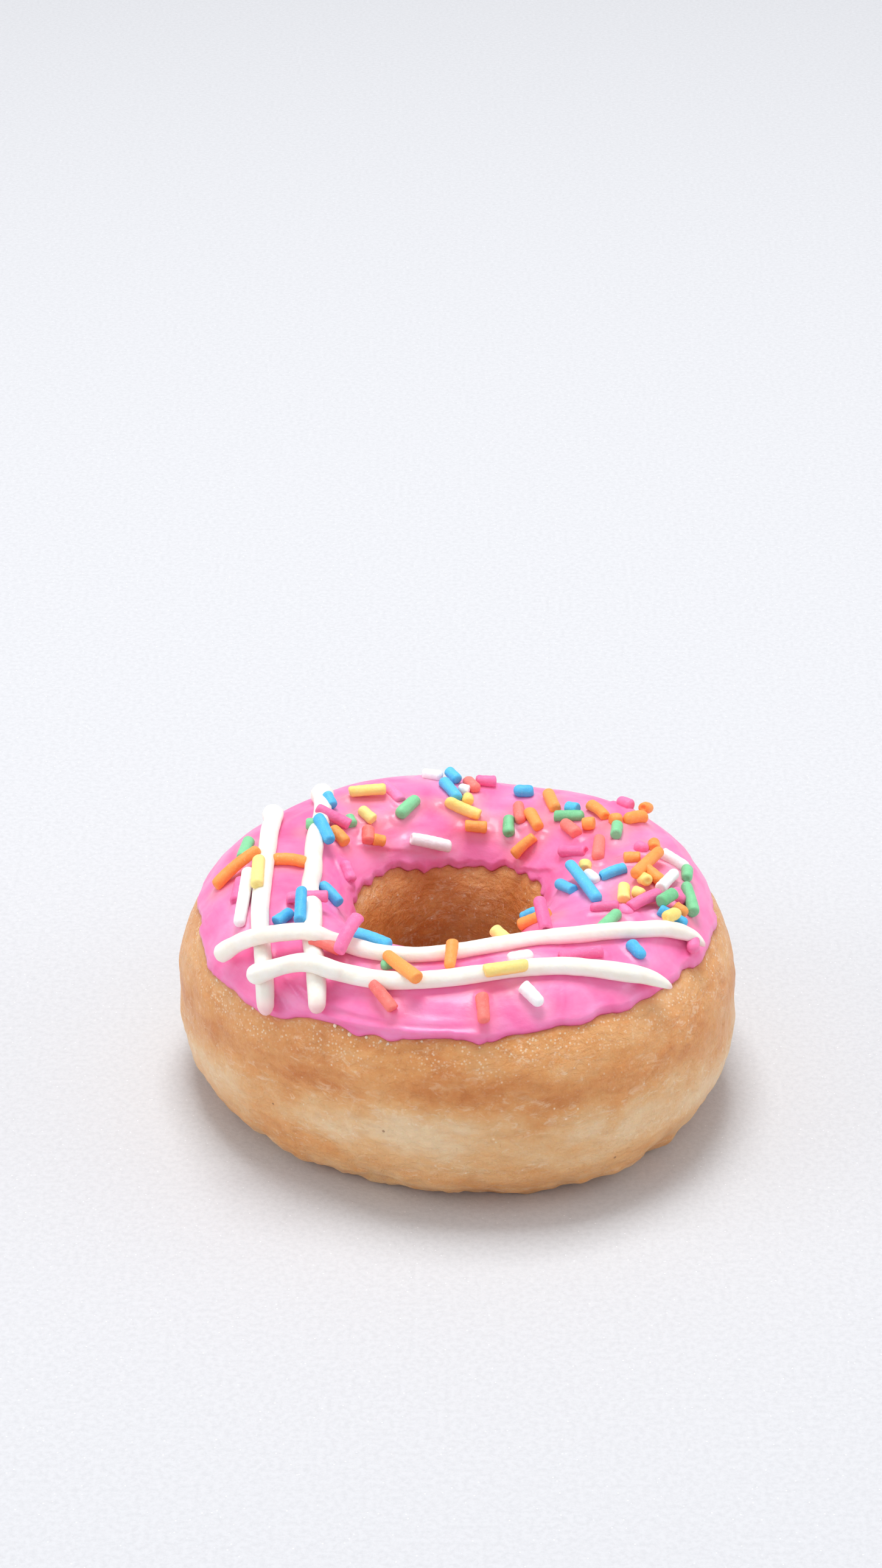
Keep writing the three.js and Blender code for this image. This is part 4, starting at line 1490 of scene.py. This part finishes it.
@dataclass
class Studio:
    """The pale table, the soft lights and the camera."""

    form: RingForm
    table_half: float = 3.0
    world_strength: float = 0.6
    distance: float = 640.0
    elevation: float = 31.5
    aim_up: float = 2.951
    aim_left: float = 0.26
    lens: float = 90.0
    sensor: float = 36.0
    lights: tuple[SoftBox, ...] = (
        SoftBox("overhead", (-0.05, 0.26, 1.15), 0.5, 9.8),
        SoftBox("left", (-1.1, -0.2, 0.45), 0.8, 3.4),
        SoftBox("right", (1.1, 0.0, 0.45), 0.8, 2.5),
        SoftBox("front", (0.1, -1.2, 0.28), 0.9, 1.2),
    )

    def table(self) -> bpy.types.Object:
        """Returns the table: a flat square, its points x and y from -half to half and z zero."""
        side = np.array([-self.table_half, self.table_half])
        x, y = np.meshgrid(side, side, indexing="ij")
        points = np.stack([x, y, np.zeros_like(x)], axis=-1).reshape(-1, 3)
        mesh = bpy.data.meshes.new("table")
        mesh.from_pydata(points.tolist(), [], [(0, 2, 3, 1)])
        mesh.materials.append(TableFinish().material())
        table = bpy.data.objects.new("table", mesh)
        bpy.context.scene.collection.objects.link(table)
        return table

    def camera(self) -> bpy.types.Object:
        """Returns the camera, looking down at the ring's waist from in front.

        It stands at the distance and elevation from the waist's middle, then turns up and left by
        the two aiming angles, so that the doughnut sits low in a tall picture.
        """
        waist = Vector((self.form.axis_x, self.form.axis_y, self.form.waist_height)) * MM
        tilt = math.radians(self.elevation)
        back = Vector((0, -math.cos(tilt), math.sin(tilt)))
        data = bpy.data.cameras.new("camera")
        data.lens = self.lens
        data.sensor_width = self.sensor
        data.clip_start, data.clip_end = 0.01, 20
        camera = bpy.data.objects.new("camera", data)
        bpy.context.scene.collection.objects.link(camera)
        right = Vector((1, 0, 0))
        ahead = Matrix.Rotation(math.radians(self.aim_up), 3, right) @ -back
        up = right.cross(ahead)
        ahead = Matrix.Rotation(math.radians(self.aim_left), 3, up) @ ahead
        right = ahead.cross(up)
        turn = Matrix((right, up, -ahead)).transposed().to_4x4()
        camera.matrix_world = Matrix.Translation(waist + back * self.distance * MM) @ turn
        bpy.context.scene.camera = camera
        return camera

    def build(self) -> None:
        """Makes the table, the world's light, the soft boxes and the camera."""
        self.table()
        world = bpy.data.worlds.new("studio")
        world.use_nodes = True
        sky = world.node_tree.nodes["Background"]
        sky.inputs["Color"].default_value = (0.97, 0.98, 1.0, 1.0)
        sky.inputs["Strength"].default_value = self.world_strength
        bpy.context.scene.world = world
        for light in self.lights:
            light.build()
        self.camera()
        bpy.context.scene.view_settings.view_transform = "Standard"
        log.info("studio: %d soft boxes", len(self.lights))


# ---- Assembly ------------------------------------------------------------------------------


def main() -> None:
    """Builds the doughnut piece by piece, and the studio round it."""
    logging.basicConfig(level=logging.INFO, format="%(message)s", stream=sys.stdout)
    form = RingForm.from_frame("dough_ring")
    log.info("ring axis at %.2f, %.2f mm", form.axis_x, form.axis_y)
    dough = DoughRing(form)
    dough.build(DoughFinish())
    sprinkles = Sprinkles(form)
    rods = sprinkles.from_frame(frame["nodes"])
    rods += sprinkles.small_ones(len(rods) + 1)
    sprinkles.build(rods)
    lines = PipedLines(form)
    lines.build(PipedFinish())
    ropes = [lines.middle(line) for line in PIPED_LINES]
    Icing(form, dough).build(rods, ropes, IcingFinish())
    GlazeBeads(form).build(GlazeFinish())
    Studio(form).build()


if __name__ == "__main__":
    main()
